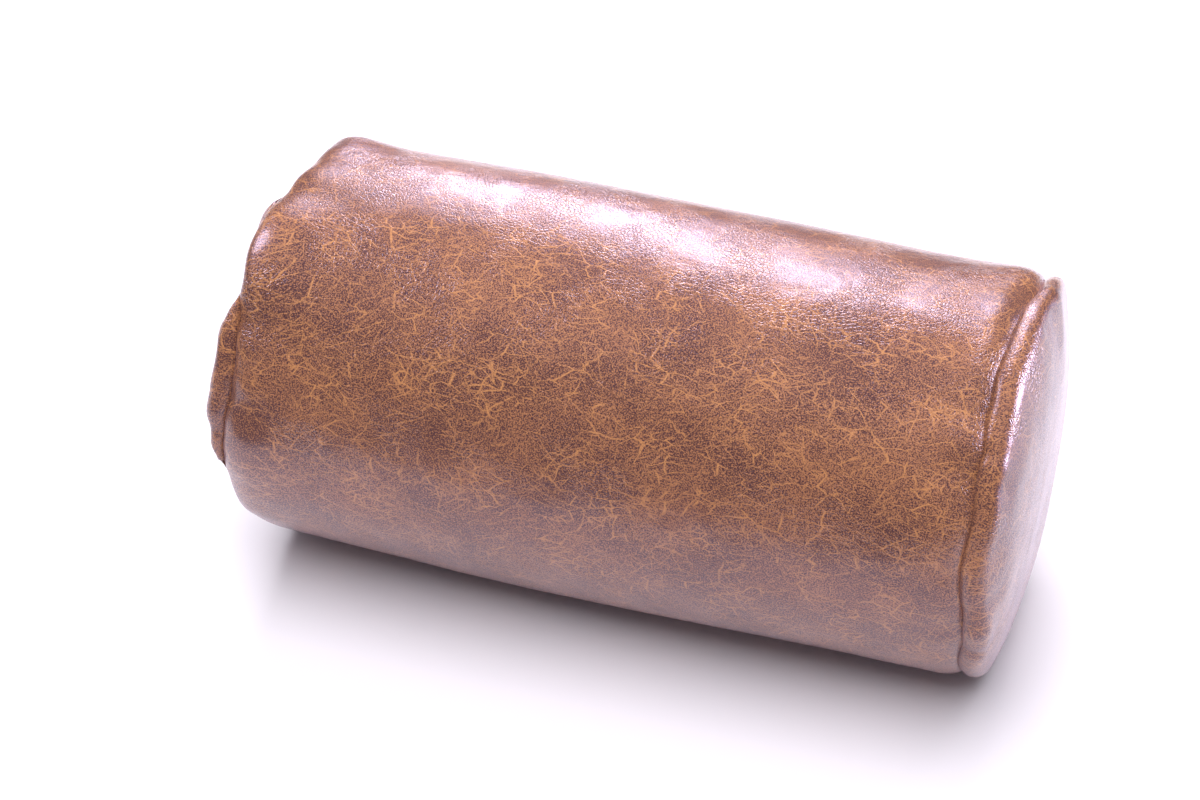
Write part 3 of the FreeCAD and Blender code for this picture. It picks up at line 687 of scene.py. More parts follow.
def leatherette():
    """Glossy marbled leatherette: dark grain on a tan ground, with bundles of lighter crackle lines."""
    shader = Shader("leatherette")
    place = shader.cloth_in_mm()
    curved = shader.warped(shader.warped(place, 24.0, 14.0, 1.0), 4.0, 2.2, 3.0)

    # Crackle lines: the edges of drawn-out cells, in bundles that run several ways and cross.
    lines = 0.0
    for degrees, size, stretch, shift, strength in CRACKLE_LAYERS:
        turn = {"Vector": curved, "Angle": math.radians(degrees)}
        turned = shader.node("ShaderNodeVectorRotate", turn, rotation_type="Z_AXIS").outputs["Vector"]
        moved = shader.vector("ADD", turned, (shift, shift * 0.6, 0.0))
        edge = shader.cells(shader.vector("MULTIPLY", moved, (stretch, 1.0, 1.0)), size, "DISTANCE_TO_EDGE")
        line = shader.between(edge, 0.0, CRACKLE_WIDTH / size, 1.0, 0.0)
        bundle = shader.noise(moved, CRACKLE_BUNDLE, 2.0, 0.5)
        here = shader.between(bundle, 0.47, 0.63, 0.0, strength)
        lines = shader.maths("MAXIMUM", lines, shader.maths("MULTIPLY", line, here))
    broken = shader.between(shader.noise(place, 3.4, 2.0), 0.32, 0.52, 0.35, 1.0)
    lines = shader.maths("MULTIPLY", lines, broken)

    patches = shader.noise(place, 34.0, 2.0, 0.6)
    grain = shader.noise(shader.warped(place, 2.0, 0.8), 0.52, 2.0, 0.6, 0.3)
    shaded = shader.maths("ADD", grain, shader.between(patches, 0.3, 0.7, -0.03, 0.03))
    shaded = shader.maths("MULTIPLY_ADD", lines, 0.15, shaded)
    ground = shader.mixed(shader.between(shaded, 0.43, 0.60), colour(78, 50, 51), colour(160, 108, 77))
    tint = shader.mixed(shader.maths("MULTIPLY", lines, 0.56), ground, colour(200, 140, 84))

    swells = shader.bump(shader.noise(place, 15.0, 2.0, 0.5), 0.7 * MM)
    creased = shader.between(shader.noise(place, 24.0, 1.0), 0.40, 0.60, 0.25, 1.0)
    net = shader.cells(shader.warped(place, 3.0, 2.0, 2.0), 1.5, "DISTANCE_TO_EDGE")
    net = shader.maths("MULTIPLY", shader.between(net, 0.0, 0.22), creased)
    wrinkled = shader.bump(net, 0.08 * MM, swells)
    fine = shader.maths("ADD", grain, shader.maths("MULTIPLY", lines, 0.5))
    relief = shader.bump(fine, 0.04 * MM, wrinkled)
    rough = shader.between(grain, 0.35, 0.65, 0.40, 0.32)
    return shader.finish(Base_Color=tint, Roughness=rough, Normal=relief, IOR=1.5, Specular_IOR_Level=0.7,
                         Specular_Tint=(0.80, 0.68, 1.0, 1.0), Coat_Weight=0.7, Coat_Roughness=0.08,
                         Coat_IOR=1.5, Coat_Normal=relief, Sheen_Weight=0.18, Sheen_Roughness=0.35,
                         Sheen_Tint=(0.86, 0.64, 1.0, 1.0))


def sewing_thread():
    """Twisted brown thread."""
    shader = Shader("brown_thread")
    place = shader.place_in_mm()
    twist = shader.waves(place, 0.35, "DIAGONAL", 0.6)
    tint = shader.mixed(shader.noise(place, 1.2), colour(96, 60, 46), colour(132, 88, 64))
    return shader.finish(Base_Color=tint, Roughness=0.7, Sheen_Weight=0.3,
                         Normal=shader.bump(twist, 0.05 * MM))


def woven_tape():
    """Herringbone zip tape in dark brown."""
    shader = Shader("zip_tape_weave")
    place = shader.cloth_in_mm()
    across = shader.waves(place, 0.55, "X", 0.4)
    along = shader.waves(place, 0.8, "Y", 0.4)
    weave = shader.maths("MULTIPLY", across, along)
    tint = shader.mixed(weave, colour(58, 38, 34), colour(96, 66, 56))
    tint = shader.mixed(shader.noise(place, 9.0), tint, colour(78, 52, 46))
    return shader.finish(Base_Color=tint, Roughness=0.85, Sheen_Weight=0.4,
                         Normal=shader.bump(weave, 0.12 * MM))


def coil_plastic():
    """Matt brown nylon of the zip's coils."""
    shader = Shader("zip_coil_nylon")
    place = shader.place_in_mm()
    tint = shader.mixed(shader.noise(place, 3.0), colour(62, 40, 34), colour(84, 56, 46))
    rough = shader.between(shader.noise(place, 0.6), 0.3, 0.7, 0.35, 0.5)
    return shader.finish(Base_Color=tint, Roughness=rough,
                         Normal=shader.bump(shader.noise(place, 0.4), 0.02 * MM))


def antique_brass():
    """Darkened brass that is worn bright where it is rubbed."""
    shader = Shader("antique_brass")
    place = shader.place_in_mm()
    wear = shader.between(shader.noise(place, 2.5, 4.0, 0.65), 0.42, 0.62)
    tint = shader.mixed(wear, colour(104, 78, 48), colour(186, 148, 92))
    scratches = shader.noise(shader.vector("MULTIPLY", place, (0.4, 4.0, 4.0)), 0.8, 3.0)
    return shader.finish(Base_Color=tint, Metallic=1.0, Roughness=shader.between(wear, 0, 1, 0.48, 0.28),
                         Normal=shader.bump(scratches, 0.03 * MM))


def ribbed_knit():
    """Cream knitted stockinette."""
    shader = Shader("stockinette_knit")
    place = shader.cloth_in_mm()
    ribs = shader.waves(place, 1.1, "Y", 0.5)
    loops = shader.waves(place, 0.9, "X", 0.8)
    knit = shader.maths("MULTIPLY", ribs, shader.maths("MULTIPLY_ADD", loops, 0.5, 0.5))
    tint = shader.mixed(knit, colour(186, 176, 156), colour(232, 226, 210))
    tint = shader.mixed(shader.noise(place, 30.0), tint, colour(216, 206, 186))
    return shader.finish(Base_Color=tint, Roughness=0.9, Sheen_Weight=0.3,
                         Normal=shader.bump(knit, 0.25 * MM))


def polyester_wadding():
    """White fibrous wadding."""
    shader = Shader("polyester_wadding")
    place = shader.place_in_mm()
    fibres = shader.noise(shader.warped(place, 6.0, 8.0), 1.2, 5.0, 0.7, 1.5)
    tint = shader.mixed(fibres, colour(206, 204, 200), colour(244, 243, 240))
    return shader.finish(Base_Color=tint, Roughness=0.95, Sheen_Weight=0.5,
                         Subsurface_Weight=0.1, Normal=shader.bump(fibres, 0.5 * MM))


def open_cell_foam():
    """Pale yellow open-cell foam."""
    shader = Shader("open_cell_foam")
    place = shader.place_in_mm()
    bubbles = shader.cells(shader.warped(place, 2.0, 1.0), 1.3, dimensions="3D")
    pores = shader.between(bubbles, 0.15, 0.5)
    tint = shader.mixed(pores, colour(176, 156, 104), colour(232, 218, 168))
    tint = shader.mixed(shader.noise(place, 25.0), tint, colour(222, 202, 146))
    return shader.finish(Base_Color=tint, Roughness=0.95, Normal=shader.bump(pores, 0.35 * MM))


LEATHERETTE = leatherette()
THREAD = sewing_thread()
TAPE = woven_tape()
COIL = coil_plastic()
BRASS = antique_brass()
KNIT = ribbed_knit()
WADDING = polyester_wadding()
FOAM = open_cell_foam()


# ---------------------------------------------------------------- the cover's three panels
FINE_STEP = 1.1 * MM
WIDE_STEP = 2.1 * MM


def tube_columns():
    """Angles round the tube, close together beside the zip, with lines along the slot's edges."""
    across = chained(0, (SLOT_HALF, 0.7 * MM), (6.5 * MM, 0.3 * MM), (10.5 * MM, 0.5 * MM),
                     (21 * MM, 1.5 * MM), (math.pi * RADIUS, WIDE_STEP))
    return ZIP_PHI + np.concatenate([across, -across[-2:0:-1]]) / RADIUS


ALLOWANCE_DEPTHS = spaced(0, ALLOWANCE, 2 * MM)[1:]
SEAM_GAP = 0.05 * MM          # between the two allowances that are sewn face to face


def with_allowance(points, inwards):
    """Grid rows that start at a seam, with the turned-in allowance put before them."""
    seam = points[0].copy()
    seam[:, 0] += inwards * SEAM_GAP
    turned = [pulled_in(seam, depth) for depth in ALLOWANCE_DEPTHS[::-1]]
    return np.concatenate([np.stack(turned), points])


def cover_tube():
    """The tube panel: one sheet with its zip slot, and an allowance turned in at each end."""
    rows = mirrored(chained(0, (ZIP_END_X, WIDE_STEP), (VALLEY_T - 12 * MM, WIDE_STEP),
                            (VALLEY_T, FINE_STEP)))
    columns = tube_columns()
    points = cover_points(rows[:, None], columns[None, :])
    points = with_allowance(points, 1)
    points = with_allowance(points[::-1], -1)[::-1]
    along = np.concatenate([rows[0] - ALLOWANCE_DEPTHS[::-1], rows, rows[-1] + ALLOWANCE_DEPTHS])
    faces = grid_faces(len(along), len(columns))
    middle_t = (along[:-1] + along[1:]) / 2
    middle_phi = columns + angle_gap(np.roll(columns, -1), columns) / 2
    middle_across = np.abs(angle_gap(middle_phi, ZIP_PHI)) * RADIUS
    in_slot = (np.abs(middle_t)[:, None] < ZIP_END_X) & (middle_across[None, :] < SLOT_HALF)
    faces = faces[~in_slot.ravel()]
    round_it = (columns - ZIP_PHI) % (2 * math.pi) * RADIUS
    uv = np.stack(np.broadcast_arrays(along[:, None], round_it[None, :]), axis=-1)
    panel = new_object("leatherette_tube", points, faces.tolist(), LEATHERETTE, uv=uv,
                       uv_round=2 * math.pi * RADIUS)
    thicken(panel, THICKNESS)
    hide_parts("cover_tube")


DISC_COLUMNS = 280
DISC_PATTERN_SHIFT = 0.9      # each disc is cut from another stretch of the leatherette


def end_disc(side, name):
    """An end disc: a bead at the seam, a domed face, and an allowance turned in."""
    out = chained(VALLEY_T, (VALLEY_T + 16 * MM, FINE_STEP), (POLE_T - 3 * MM, WIDE_STEP))
    columns = np.arange(DISC_COLUMNS) * 2 * math.pi / DISC_COLUMNS
    points = cover_points(side * out[:, None], columns[None, :])
    points = with_allowance(points, side)
    pole = cover_points(np.array(side * POLE_T), np.array(0.0))
    row_count = len(points)
    faces = grid_faces(row_count, DISC_COLUMNS).tolist()
    if side > 0:
        faces = [face[::-1] for face in faces]
    centre = row_count * DISC_COLUMNS
    faces += cap_faces(centre - DISC_COLUMNS, centre, DISC_COLUMNS, side < 0)
    points = np.concatenate([points.reshape(-1, 3), pole[None, :]])
    from_pole = np.concatenate([POLE_T - VALLEY_T + ALLOWANCE_DEPTHS[::-1], POLE_T - out])
    uv = from_pole[:, None, None] * np.stack([np.cos(columns), np.sin(columns)], axis=-1)
    uv = np.concatenate([uv.reshape(-1, 2), np.zeros((1, 2))]) + side * DISC_PATTERN_SHIFT
    panel = new_object(f"leatherette_disc_{name}", points, faces, LEATHERETTE, uv=uv)
    thicken(panel, THICKNESS)
    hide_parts(f"{name}_end_disc")


cover_tube()
end_disc(-1, "left")
end_disc(1, "right")


# ---------------------------------------------------------------- threads
STITCH_LENGTH = 3.0 * MM
STITCH_GAP = 0.5 * MM
THREAD_RADIUS = 0.26 * MM
STITCH_ARCH = np.array([-0.9, 0.5, 0.9, 1.0, 0.9, 0.5, -0.9])      # lift along a stitch, in thread radii
STITCH_TAPER = np.array([0.6, 1.0, 1.05, 1.05, 1.05, 1.0, 0.6])    # its radius, in thread radii
INNER_STITCH_LIFT = 0.4       # how much of that lift the stitches inside the cover have


def on_cover(x, across, lift):
    """Points beside the zip: across is round the roll, up from the zip's seam; lift is off the cover."""
    x, across, lift = np.broadcast_arrays(x, across, lift)
    phi = ZIP_PHI + across / RADIUS
    radius = RADIUS + lift
    return np.stack([x, radius * np.cos(phi), AXIS_Z + radius * np.sin(phi)], axis=-1)


def stitch_row(strand, path_at, length):
    """Separate stitches along a path: path_at takes distances along it and lifts off the cloth."""
    count = int(length / (STITCH_LENGTH + STITCH_GAP))
    pitch = length / count
    lift = THREAD_RADIUS * STITCH_ARCH
    for number in range(count):
        start = number * pitch + STITCH_GAP / 2
        along = np.linspace(start, start + pitch - STITCH_GAP, len(lift))
        strand.sweep(path_at(along, lift), THREAD_RADIUS * STITCH_TAPER, up=(0.0, 0.3, 1.0))


def zip_topstitching():
    hem_top = 0.12 * MM
    for name, sign in (("upper", 1), ("lower", -1)):
        strand = Strand()
        across = sign * (SLOT_HALF + TOPSTITCH_FROM_EDGE)

        def path_at(along, lift):
            return on_cover(along - ZIP_END_X, across, hem_top + lift)
        stitch_row(strand, path_at, 2 * ZIP_END_X)
        made = strand.finish(f"topstitching_{name}", THREAD)
        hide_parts(f"zip_stitching_{name}")


BAR_TACK_PASSES = 26


def bar_tacks():
    """A dense zigzag of thread across each end of the slot."""
    strand = Strand()
    inner = ZIP_END_X + 0.5 * MM
    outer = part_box("zip_bar_tacks")[1].x - 0.2 * MM
    half_width = 5.6 * MM
    for side in (-1, 1):
        across = np.linspace(-half_width, half_width, BAR_TACK_PASSES * 2 + 1)
        zigzag = np.where(np.arange(len(across)) % 2 == 0, inner, outer) * side
        lift = 0.30 * MM + 0.10 * MM * (np.arange(len(across)) % 2)
        strand.sweep(on_cover(zigzag, across, lift), 0.24 * MM, up=(0.0, 0.9, 0.43))
        for edge in (inner + 0.3 * MM, outer - 0.3 * MM):
            rail = np.linspace(-half_width, half_width, 30)
            strand.sweep(on_cover(side * edge, rail, 0.05 * MM), 0.2 * MM, up=(1.0, 0.0, 0.0))
    made = strand.finish("bar_tack_thread", THREAD)
    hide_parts("zip_bar_tacks")


def back_seam_stitches():
    """The lockstitch inside the closed seam past each end of the zip."""
    strand = Strand()
    start = ZIP_END_X + 0.6 * MM
    depth = -THICKNESS - 0.4 * MM
    for side in (-1, 1):
        def path_at(along, lift):
            return on_cover(side * (start + along), 0.0, depth - lift * INNER_STITCH_LIFT)
        stitch_row(strand, path_at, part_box("back_seam_thread")[1].x - start)
    made = strand.finish("back_seam_stitches", THREAD)
    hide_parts("back_seam_thread")


def end_seam_stitches(side, name):
    """Needle and bobbin stitches on the two inner faces of an end seam's allowances."""
    strand = Strand()
    depth = 1.7 * MM
    for face in (-1, 1):
        def path_at(along, lift):
            phi = along / (RADIUS - VALLEY_DEPTH - depth)
            seam = pulled_in(cover_points(np.full(phi.shape, side * VALLEY_T), phi), depth)
            seam[:, 0] += face * (THICKNESS + 0.2 * MM + lift * INNER_STITCH_LIFT)
            return seam
        stitch_row(strand, path_at, 2 * math.pi * (RADIUS - VALLEY_DEPTH - depth))
    made = strand.finish(f"end_seam_stitches_{name}", THREAD)
    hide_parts(f"{name}_end_seam_thread")


zip_topstitching()
bar_tacks()
back_seam_stitches()
end_seam_stitches(-1, "left")
end_seam_stitches(1, "right")


# ---------------------------------------------------------------- the zip
ZIP_OUT = np.array([0, math.cos(ZIP_PHI), math.sin(ZIP_PHI)])
ZIP_DOWN = np.array([0, math.sin(ZIP_PHI), -math.cos(ZIP_PHI)])


def at_zip(x, down, out):
    """Points in the zip's flat frame: x along it, down across it, and out from the roll's axis."""
    x, down, out = (np.asarray(value, float)[..., None] for value in np.broadcast_arrays(x, down, out))
    return np.array([0, 0, AXIS_Z]) + x * np.array([1.0, 0, 0]) + down * ZIP_DOWN + out * ZIP_OUT


TAPE_THICKNESS = 0.6 * MM
TAPE_OUTER = RADIUS - THICKNESS - 0.2 * MM


def zip_tape(name, sign):
    """A woven tape with a thicker corded edge at the coil."""
    x = spaced(-TAPE_END_X, TAPE_END_X, 2.0 * MM)
    across = np.concatenate([spaced(0.9 * MM, 3.2 * MM, 0.38 * MM), spaced(4.0 * MM, 15.4 * MM, 0.95 * MM)])
    cord = 0.12 * MM * np.exp(-((across - 1.3 * MM) / (0.35 * MM)) ** 2)
    outside = TAPE_OUTER - RADIUS - 0.13 * MM + cord
    loose = smooth_step((across - 4 * MM) / (8 * MM))
    ripple = 0.05 * MM * np.sin(x / (5.3 * MM))[:, None] * loose[None, :]
    top = on_cover(x[:, None], sign * across[None, :], outside[None, :] + ripple)
    rows, columns = top.shape[:2]
    number = np.arange(rows * columns).reshape(rows, columns)
    faces = np.stack([number[:-1, :-1], number[:-1, 1:], number[1:, 1:], number[1:, :-1]], axis=-1)
    faces = faces.reshape(-1, 4).tolist()
    if sign < 0:
        faces = [face[::-1] for face in faces]
    uv = np.stack(np.broadcast_arrays(x[:, None], sign * across[None, :]), axis=-1)
    tape = new_object(f"woven_tape_{name}", top, faces, TAPE, uv=uv)
    thicken(tape, TAPE_THICKNESS - 0.14 * MM)
    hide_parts(f"zip_tape_{name}")


COIL_PITCH = 1.4 * MM
COIL_WIRE = 0.33 * MM         # radius of the filament
COIL_LIFT = 0.70 * MM         # from the tape to the middle of the coil


def zip_coil(name, sign, phase):
    """A coiled nylon filament whose heads reach between those of the other coil."""
    turns = 2 * COIL_END_X / COIL_PITCH
    angle = np.arange(0, 2 * math.pi * turns, 2 * math.pi / 12)
    x = -COIL_END_X + COIL_PITCH * (angle + phase) / (2 * math.pi) + COIL_WIRE
    inside = np.abs(x) < COIL_END_X - COIL_WIRE
    down = sign * (1.17 * MM + 1.59 * MM * np.cos(angle))
    out = TAPE_OUTER + COIL_LIFT + 0.37 * MM * np.sin(angle)
    strand = Strand()
    strand.sweep(at_zip(x, down, out)[inside], COIL_WIRE, up=(1.0, 0.0, 0.0))
    cord_x = spaced(-COIL_END_X, COIL_END_X, 3 * MM)
    strand.sweep(at_zip(cord_x, sign * 1.75 * MM, TAPE_OUTER + COIL_LIFT), 0.3 * MM)
    made = strand.finish(f"nylon_coil_{name}", COIL)
    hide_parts(f"zip_coil_{name}")


CLAMP_SIDES = 16
CLAMP_SQUARENESS = 0.35       # power of the cosines: 1 is round, 0 is square
CLAMP_ALONG = [0.0, 0.06, 0.16, 0.38, 0.46, 0.54, 0.62, 0.84, 0.94, 1.0]
CLAMP_SIZE = [0.80, 0.93, 1.0, 1.0, 0.94, 0.94, 1.0, 1.0, 0.93, 0.80]
CLAMP_HEIGHT = 1.7 * MM
CLAMP_REACH = 3.4 * MM        # from the middle of the zip
CLAMP_CLEARANCE = 3 * MM      # from the ends of the slot


def clamp(strand, x_low, x_high, down_low, down_high):
    """A rounded metal clamp, its section across the zip swept along X with softened ends."""
    out_low, out_high = TAPE_OUTER, TAPE_OUTER + CLAMP_HEIGHT
    middle_down, middle_out = (down_low + down_high) / 2, (out_low + out_high) / 2
    half_down, half_out = (down_high - down_low) / 2, (out_high - out_low) / 2
    angle = np.arange(CLAMP_SIDES) * 2 * math.pi / CLAMP_SIDES
    round_down = np.sign(np.cos(angle)) * np.abs(np.cos(angle)) ** CLAMP_SQUARENESS
    round_out = np.sign(np.sin(angle)) * np.abs(np.sin(angle)) ** CLAMP_SQUARENESS
    strand.add_rings(np.stack([
        at_zip(x_low + share * (x_high - x_low), middle_down + half_down * size * round_down,
               middle_out + half_out * size * round_out)
        for share, size in zip(CLAMP_ALONG, CLAMP_SIZE)]))


def zip_stops():
    top = Strand()
    for down_low, down_high in ((-CLAMP_REACH, -0.7 * MM), (0.7 * MM, CLAMP_REACH)):
        clamp(top, COIL_END_X, ZIP_END_X - CLAMP_CLEARANCE, down_low, down_high)
    made = top.finish("top_stop_clamps", BRASS)
    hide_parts("zip_top_stops")
    bottom = Strand()
    clamp(bottom, -ZIP_END_X + CLAMP_CLEARANCE, -COIL_END_X, -CLAMP_REACH, CLAMP_REACH)
    made = bottom.finish("bottom_stop_clamp", BRASS)
    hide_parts("zip_bottom_stop")


zip_tape("upper", 1)
zip_tape("lower", -1)
zip_coil("upper", -1, 0.0)
zip_coil("lower", 1, math.pi)
zip_stops()
for metal_node in ("zip_slider", "zip_pull_tab"):
    metal_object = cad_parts[metal_node]
    for material_slot in metal_object.material_slots:
        material_slot.material = BRASS


# ---------------------------------------------------------------- the filling
def layer_point(x, radius, phi, floor, follow, t):
    """Points of an inner layer, which follows the cover's dents by a share and lies flat on a floor."""
    x, radius, phi, t = np.broadcast_arrays(x, radius, phi, t)
    radius = radius + follow * dent_at(t, phi)
    z = AXIS_Z + radius * np.sin(phi)
    over = z - floor
    z = floor + (over + np.sqrt(over ** 2 + CONTACT_SOFTNESS ** 2)) / 2
    return np.stack([x, radius * np.cos(phi), z], axis=-1)


def outline(points):
    """The length along a section given as (x, radius) points, and the section's x and radius."""
    points = np.array(points)
    length = np.concatenate([[0], np.cumsum(np.hypot(*np.diff(points, axis=0).T))])
    return length, points[:, 0], points[:, 1]


LAYER_COLUMNS = 180


def turned_layer(name, section, floor, follow, material, unevenness, seed, step, uv=False, crowned=None):
    """A closed soft solid turned from a section of (x, radius) points round the roll's axis.

    A section that starts and ends on the axis is capped there; any other section is a closed ring.
    crowned is the x of a pad's flat face; its end disc's crown says how thick the pad is from there.
    """
    length, section_x, section_r = outline(section)
    closed = section_r[0] > 0
    at = spaced(0, length[-1], step)[:-1]
    if not closed:
        at = at[1:]
    x, r = np.interp(at, length, section_x), np.interp(at, length, section_r)
    columns = LAYER_COLUMNS
    phi = np.arange(columns) * 2 * math.pi / columns
    t = np.clip(x, -VALLEY_T, VALLEY_T)
    bumps = unevenness * ripples(x[:, None], phi[None, :], seed, 18, (2, 14), (0.5, 8.0))
    x_at = np.broadcast_to(x[:, None], bumps.shape)
    if crowned is not None:
        end = 1 if crowned > 0 else -1
        x_at = crowned + (x_at - crowned) * crown_share(end, r[:, None], phi[None, :])
    points = layer_point(x_at, r[:, None] + bumps, phi[None, :], floor, follow, t[:, None])
    faces = grid_faces(len(at), columns).tolist()
    if closed:
        last = (len(at) - 1) * columns
        faces += [[last + j, last + (j + 1) % columns, (j + 1) % columns, j] for j in range(columns)]
        points = points.reshape(-1, 3)
    else:
        centre = len(at) * columns
        faces += cap_faces(0, centre, columns, True)
        faces += cap_faces(centre - columns, centre + 1, columns, False)
        ends = np.array([[points[row, :, 0].mean(), 0, AXIS_Z] for row in (0, -1)])
        points = np.concatenate([points.reshape(-1, 3), ends])
    cloth = None
    if uv:
        cloth = np.stack(np.broadcast_arrays(at[:, None], phi[None, :] * r.max()), axis=-1)
    made = new_object(name, points, faces, material, uv=cloth, uv_round=2 * math.pi * r.max())
    turn_outwards(made)
    return made


CORNER_POINTS = 6


def rounded_end(x_end, radius, corner):
    """Section points that turn a corner from a roll's side to its end at x_end, which may be either end."""
    side = math.copysign(1, x_end)
    angle = np.linspace(0, math.pi / 2, CORNER_POINTS)
    return [(x_end - side * corner * (1 - math.sin(a)), radius - corner * (1 - math.cos(a))) for a in angle]


# How far each layer's outside lies inside the cover's.
SLEEVE_DEPTH = 2.3 * MM
WRAP_DEPTH = 3.5 * MM
WRAP_INNER_DEPTH = 11.0 * MM
FOAM_DEPTH = 11.6 * MM
FINE_LAYER_STEP = 2.4 * MM    # between the points of a layer's section
WIDE_LAYER_STEP = 3.0 * MM


def capsule(x_end, radius, corner):
    """A layer's section with rounded corners, from its left end to its right."""
    return rounded_end(-x_end, radius, corner)[::-1] + rounded_end(x_end, radius, corner)


def filling():
    """The knitted sleeve, the wadding and the foam core inside the cover."""
    sleeve_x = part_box("stockinette_sleeve")[1].x
    sleeve_r = RADIUS - SLEEVE_DEPTH
    mouth = 8.0 * MM
    wall = 0.4 * MM
    outer = [(-sleeve_x, mouth)] + capsule(sleeve_x, sleeve_r, 5 * MM) + [(sleeve_x, mouth)]
    inner = [(x - math.copysign(wall, x), r - wall * (r > mouth + 1 * MM)) for x, r in outer[::-1]]
    sleeve = turned_layer("knitted_sleeve", outer + inner + outer[:1], SLEEVE_DEPTH, 1.0, KNIT,
                          0.05 * MM, 5, FINE_LAYER_STEP, uv=True)
    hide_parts("stockinette_sleeve")

    wrap_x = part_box("wadding_wrap")[1].x
    outer = capsule(wrap_x, RADIUS - WRAP_DEPTH, 4 * MM)
    inner = [(wrap_x, RADIUS - WRAP_INNER_DEPTH), (-wrap_x, RADIUS - WRAP_INNER_DEPTH)]
    wrap = turned_layer("polyester_wrap", outer + inner + outer[:1], WRAP_DEPTH, 1.0, WADDING,
                        0.22 * MM, 6, WIDE_LAYER_STEP)
    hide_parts("wadding_wrap")

    core_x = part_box("foam_core")[1].x
    section = [(-core_x, 0.0)] + capsule(core_x, RADIUS - FOAM_DEPTH, 3 * MM) + [(core_x, 0.0)]
    core = turned_layer("foam_roll", section, FOAM_DEPTH, 0.6, FOAM, 0.10 * MM, 7, WIDE_LAYER_STEP)
    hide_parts("foam_core")

    for name, side in (("left", -1), ("right", 1)):
        low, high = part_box(f"{name}_wadding_disc")
        near, far = sorted((abs(low.x), abs(high.x)))
        disc_r = high.y - 0.6 * MM
        crown = [(side * (far - 1.6 * MM * share ** 2), disc_r * share)
                 for share in np.linspace(0, 0.93, 14)]
        section = crown + [(side * (far - 3.6 * MM), disc_r), (side * (near + 2 * MM), disc_r),
                           (side * (near + 0.3 * MM), disc_r * 0.96), (side * near, 0.0)]
        pad = turned_layer(f"polyester_disc_{name}", section[::-1], RADIUS - disc_r, 0.0, WADDING,
                           0.25 * MM, 8 + side, FINE_LAYER_STEP, crowned=side * near)
        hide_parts(f"{name}_wadding_disc")


filling()


# ---------------------------------------------------------------- floor, light and camera
def area_light(name, position, size, watts, tint):
    """A rectangular light that faces the middle of the roll."""
    data = bpy.data.lights.new(name, "AREA")
    data.shape = "RECTANGLE"
    data.size, data.size_y = size
    data.energy = watts
    data.color = tint
    light = bpy.data.objects.new(name, data)
    light.location = position
    towards = Vector((0, 0, AXIS_Z)) - Vector(position)
    light.rotation_euler = towards.to_track_quat("-Z", "Y").to_euler()
    bpy.context.scene.collection.objects.link(light)
    return light


def flat_card(name, corners, material):
    """A four-cornered floor or card."""
    mesh = bpy.data.meshes.new(name)
    mesh.from_pydata(corners, [], [(0, 1, 2, 3)])
    mesh.materials.append(material)
    card = bpy.data.objects.new(name, mesh)
    bpy.context.scene.collection.objects.link(card)
    return card


def plain_paint(name, tint, roughness):
    shader = Shader(name)
    return shader.finish(Base_Color=tint, Roughness=roughness, Specular_IOR_Level=0.2)


FLOOR_HALF = 3.0
FLAG_PLACES = {"front_flag": (-0.29, 0.12), "back_flag": (0.50, 0.16)}      # y and height, in metres


LILAC = (0.88, 0.80, 1.0)
WHITE = (1.0, 1.0, 1.0)
STRIP_TURN = math.radians(25)
# Each light: name, place, width and height in metres, watts and tint.  The first show only in gloss.
GLOSS_LIGHTS = [
    ("softbox_behind", (-0.30, 0.97, 0.78), (0.9, 0.8), 6.0, LILAC),
    ("strip_behind", (-0.17, 0.57, 0.54), (0.15, 0.62), 3.6, LILAC),
    ("softbox_left", (-1.0, 0.05, 0.85), (0.3, 0.5), 6, LILAC),
    ("softbox_right", (1.1, 0.35, 0.40), (0.5, 0.6), 22.0, LILAC),
]
PLAIN_LIGHTS = [
    ("light_behind", (-0.2, 1.1, 1.0), (0.9, 0.9), 24, WHITE),
    ("overhead_fill", (0.1, -0.4, 1.6), (1.5, 1.5), 42, WHITE),
]


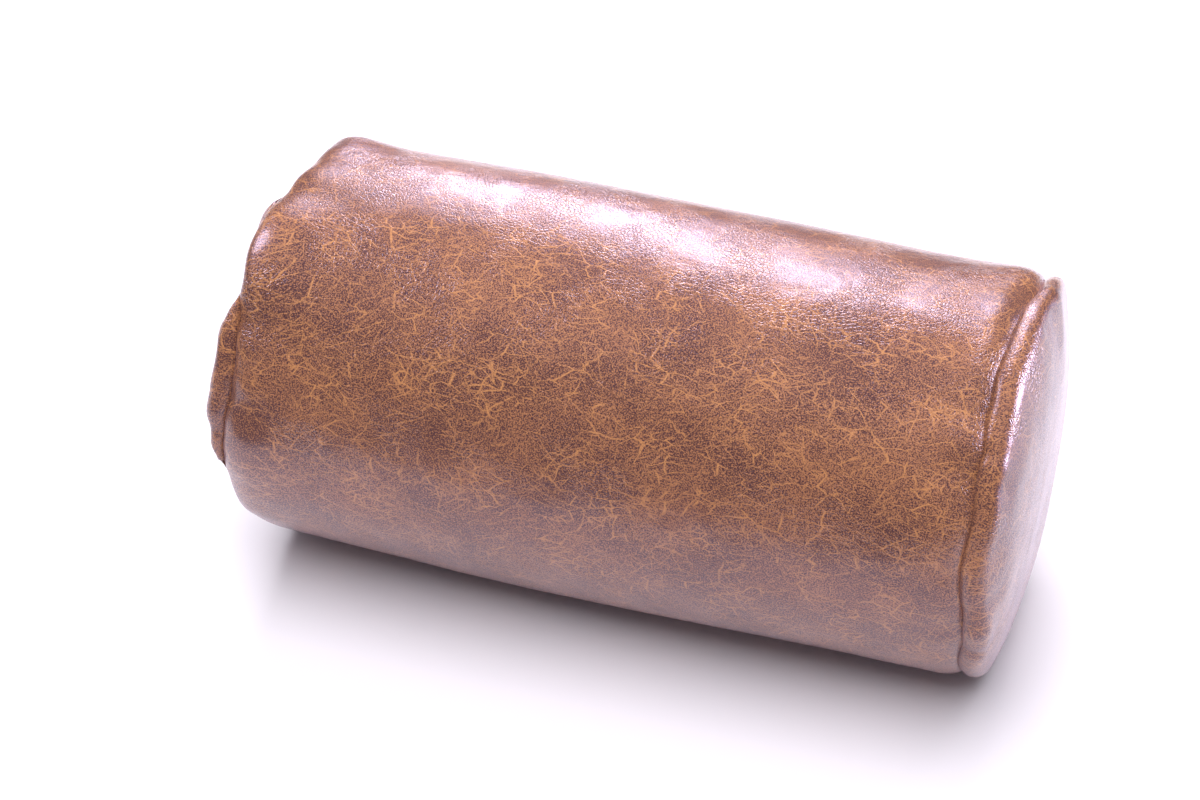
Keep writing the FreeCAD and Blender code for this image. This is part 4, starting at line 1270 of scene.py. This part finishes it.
def studio():
    flat_card("floor", [(-FLOOR_HALF, -FLOOR_HALF, 0), (FLOOR_HALF, -FLOOR_HALF, 0),
                        (FLOOR_HALF, FLOOR_HALF, 0), (-FLOOR_HALF, FLOOR_HALF, 0)],
              plain_paint("pale_floor", (0.75, 0.72, 0.785, 1.0), 0.7))
    black = plain_paint("flag_black", (0.004, 0.004, 0.004, 1.0), 1.0)
    for name, (y, height) in FLAG_PLACES.items():
        flag = flat_card(name, [(-1.5, y, 0.0), (1.5, y, 0.0), (1.5, y, height), (-1.5, y, height)], black)
        flag.visible_camera = False
        flag.visible_diffuse = False
        flag.visible_shadow = False
    for name, place, size, watts, tint in GLOSS_LIGHTS:
        light = area_light(name, place, size, watts, tint)
        light.visible_diffuse = False
        if name == "strip_behind":
            light.rotation_euler.rotate_axis("Z", STRIP_TURN)
    for name, place, size, watts, tint in PLAIN_LIGHTS:
        area_light(name, place, size, watts, tint).visible_glossy = False
    world = bpy.data.worlds.new("pale_studio")
    bpy.context.scene.world = world
    world.use_nodes = True
    world.node_tree.nodes["Background"].inputs["Color"].default_value = (0.95, 0.93, 1.0, 1.0)
    world.node_tree.nodes["Background"].inputs["Strength"].default_value = 0.25
    world.cycles_visibility.glossy = False
    bpy.context.scene.view_settings.view_transform = "Standard"


CAMERA_AZIMUTH = math.radians(17.6)
CAMERA_ELEVATION = math.radians(40.7)
CAMERA_DISTANCE = 1.0267


def camera():
    data = bpy.data.cameras.new("camera")
    data.lens = 80.97
    data.sensor_width = 36.0
    data.shift_x = -0.0405
    data.shift_y = 0.002
    made = bpy.data.objects.new("camera", data)
    away = Vector((math.sin(CAMERA_AZIMUTH) * math.cos(CAMERA_ELEVATION),
                   -math.cos(CAMERA_AZIMUTH) * math.cos(CAMERA_ELEVATION), math.sin(CAMERA_ELEVATION)))
    made.location = Vector((0, 0, AXIS_Z)) + away * CAMERA_DISTANCE
    made.rotation_euler = (-away).to_track_quat("-Z", "Y").to_euler()
    bpy.context.scene.collection.objects.link(made)
    bpy.context.scene.camera = made


studio()
camera()
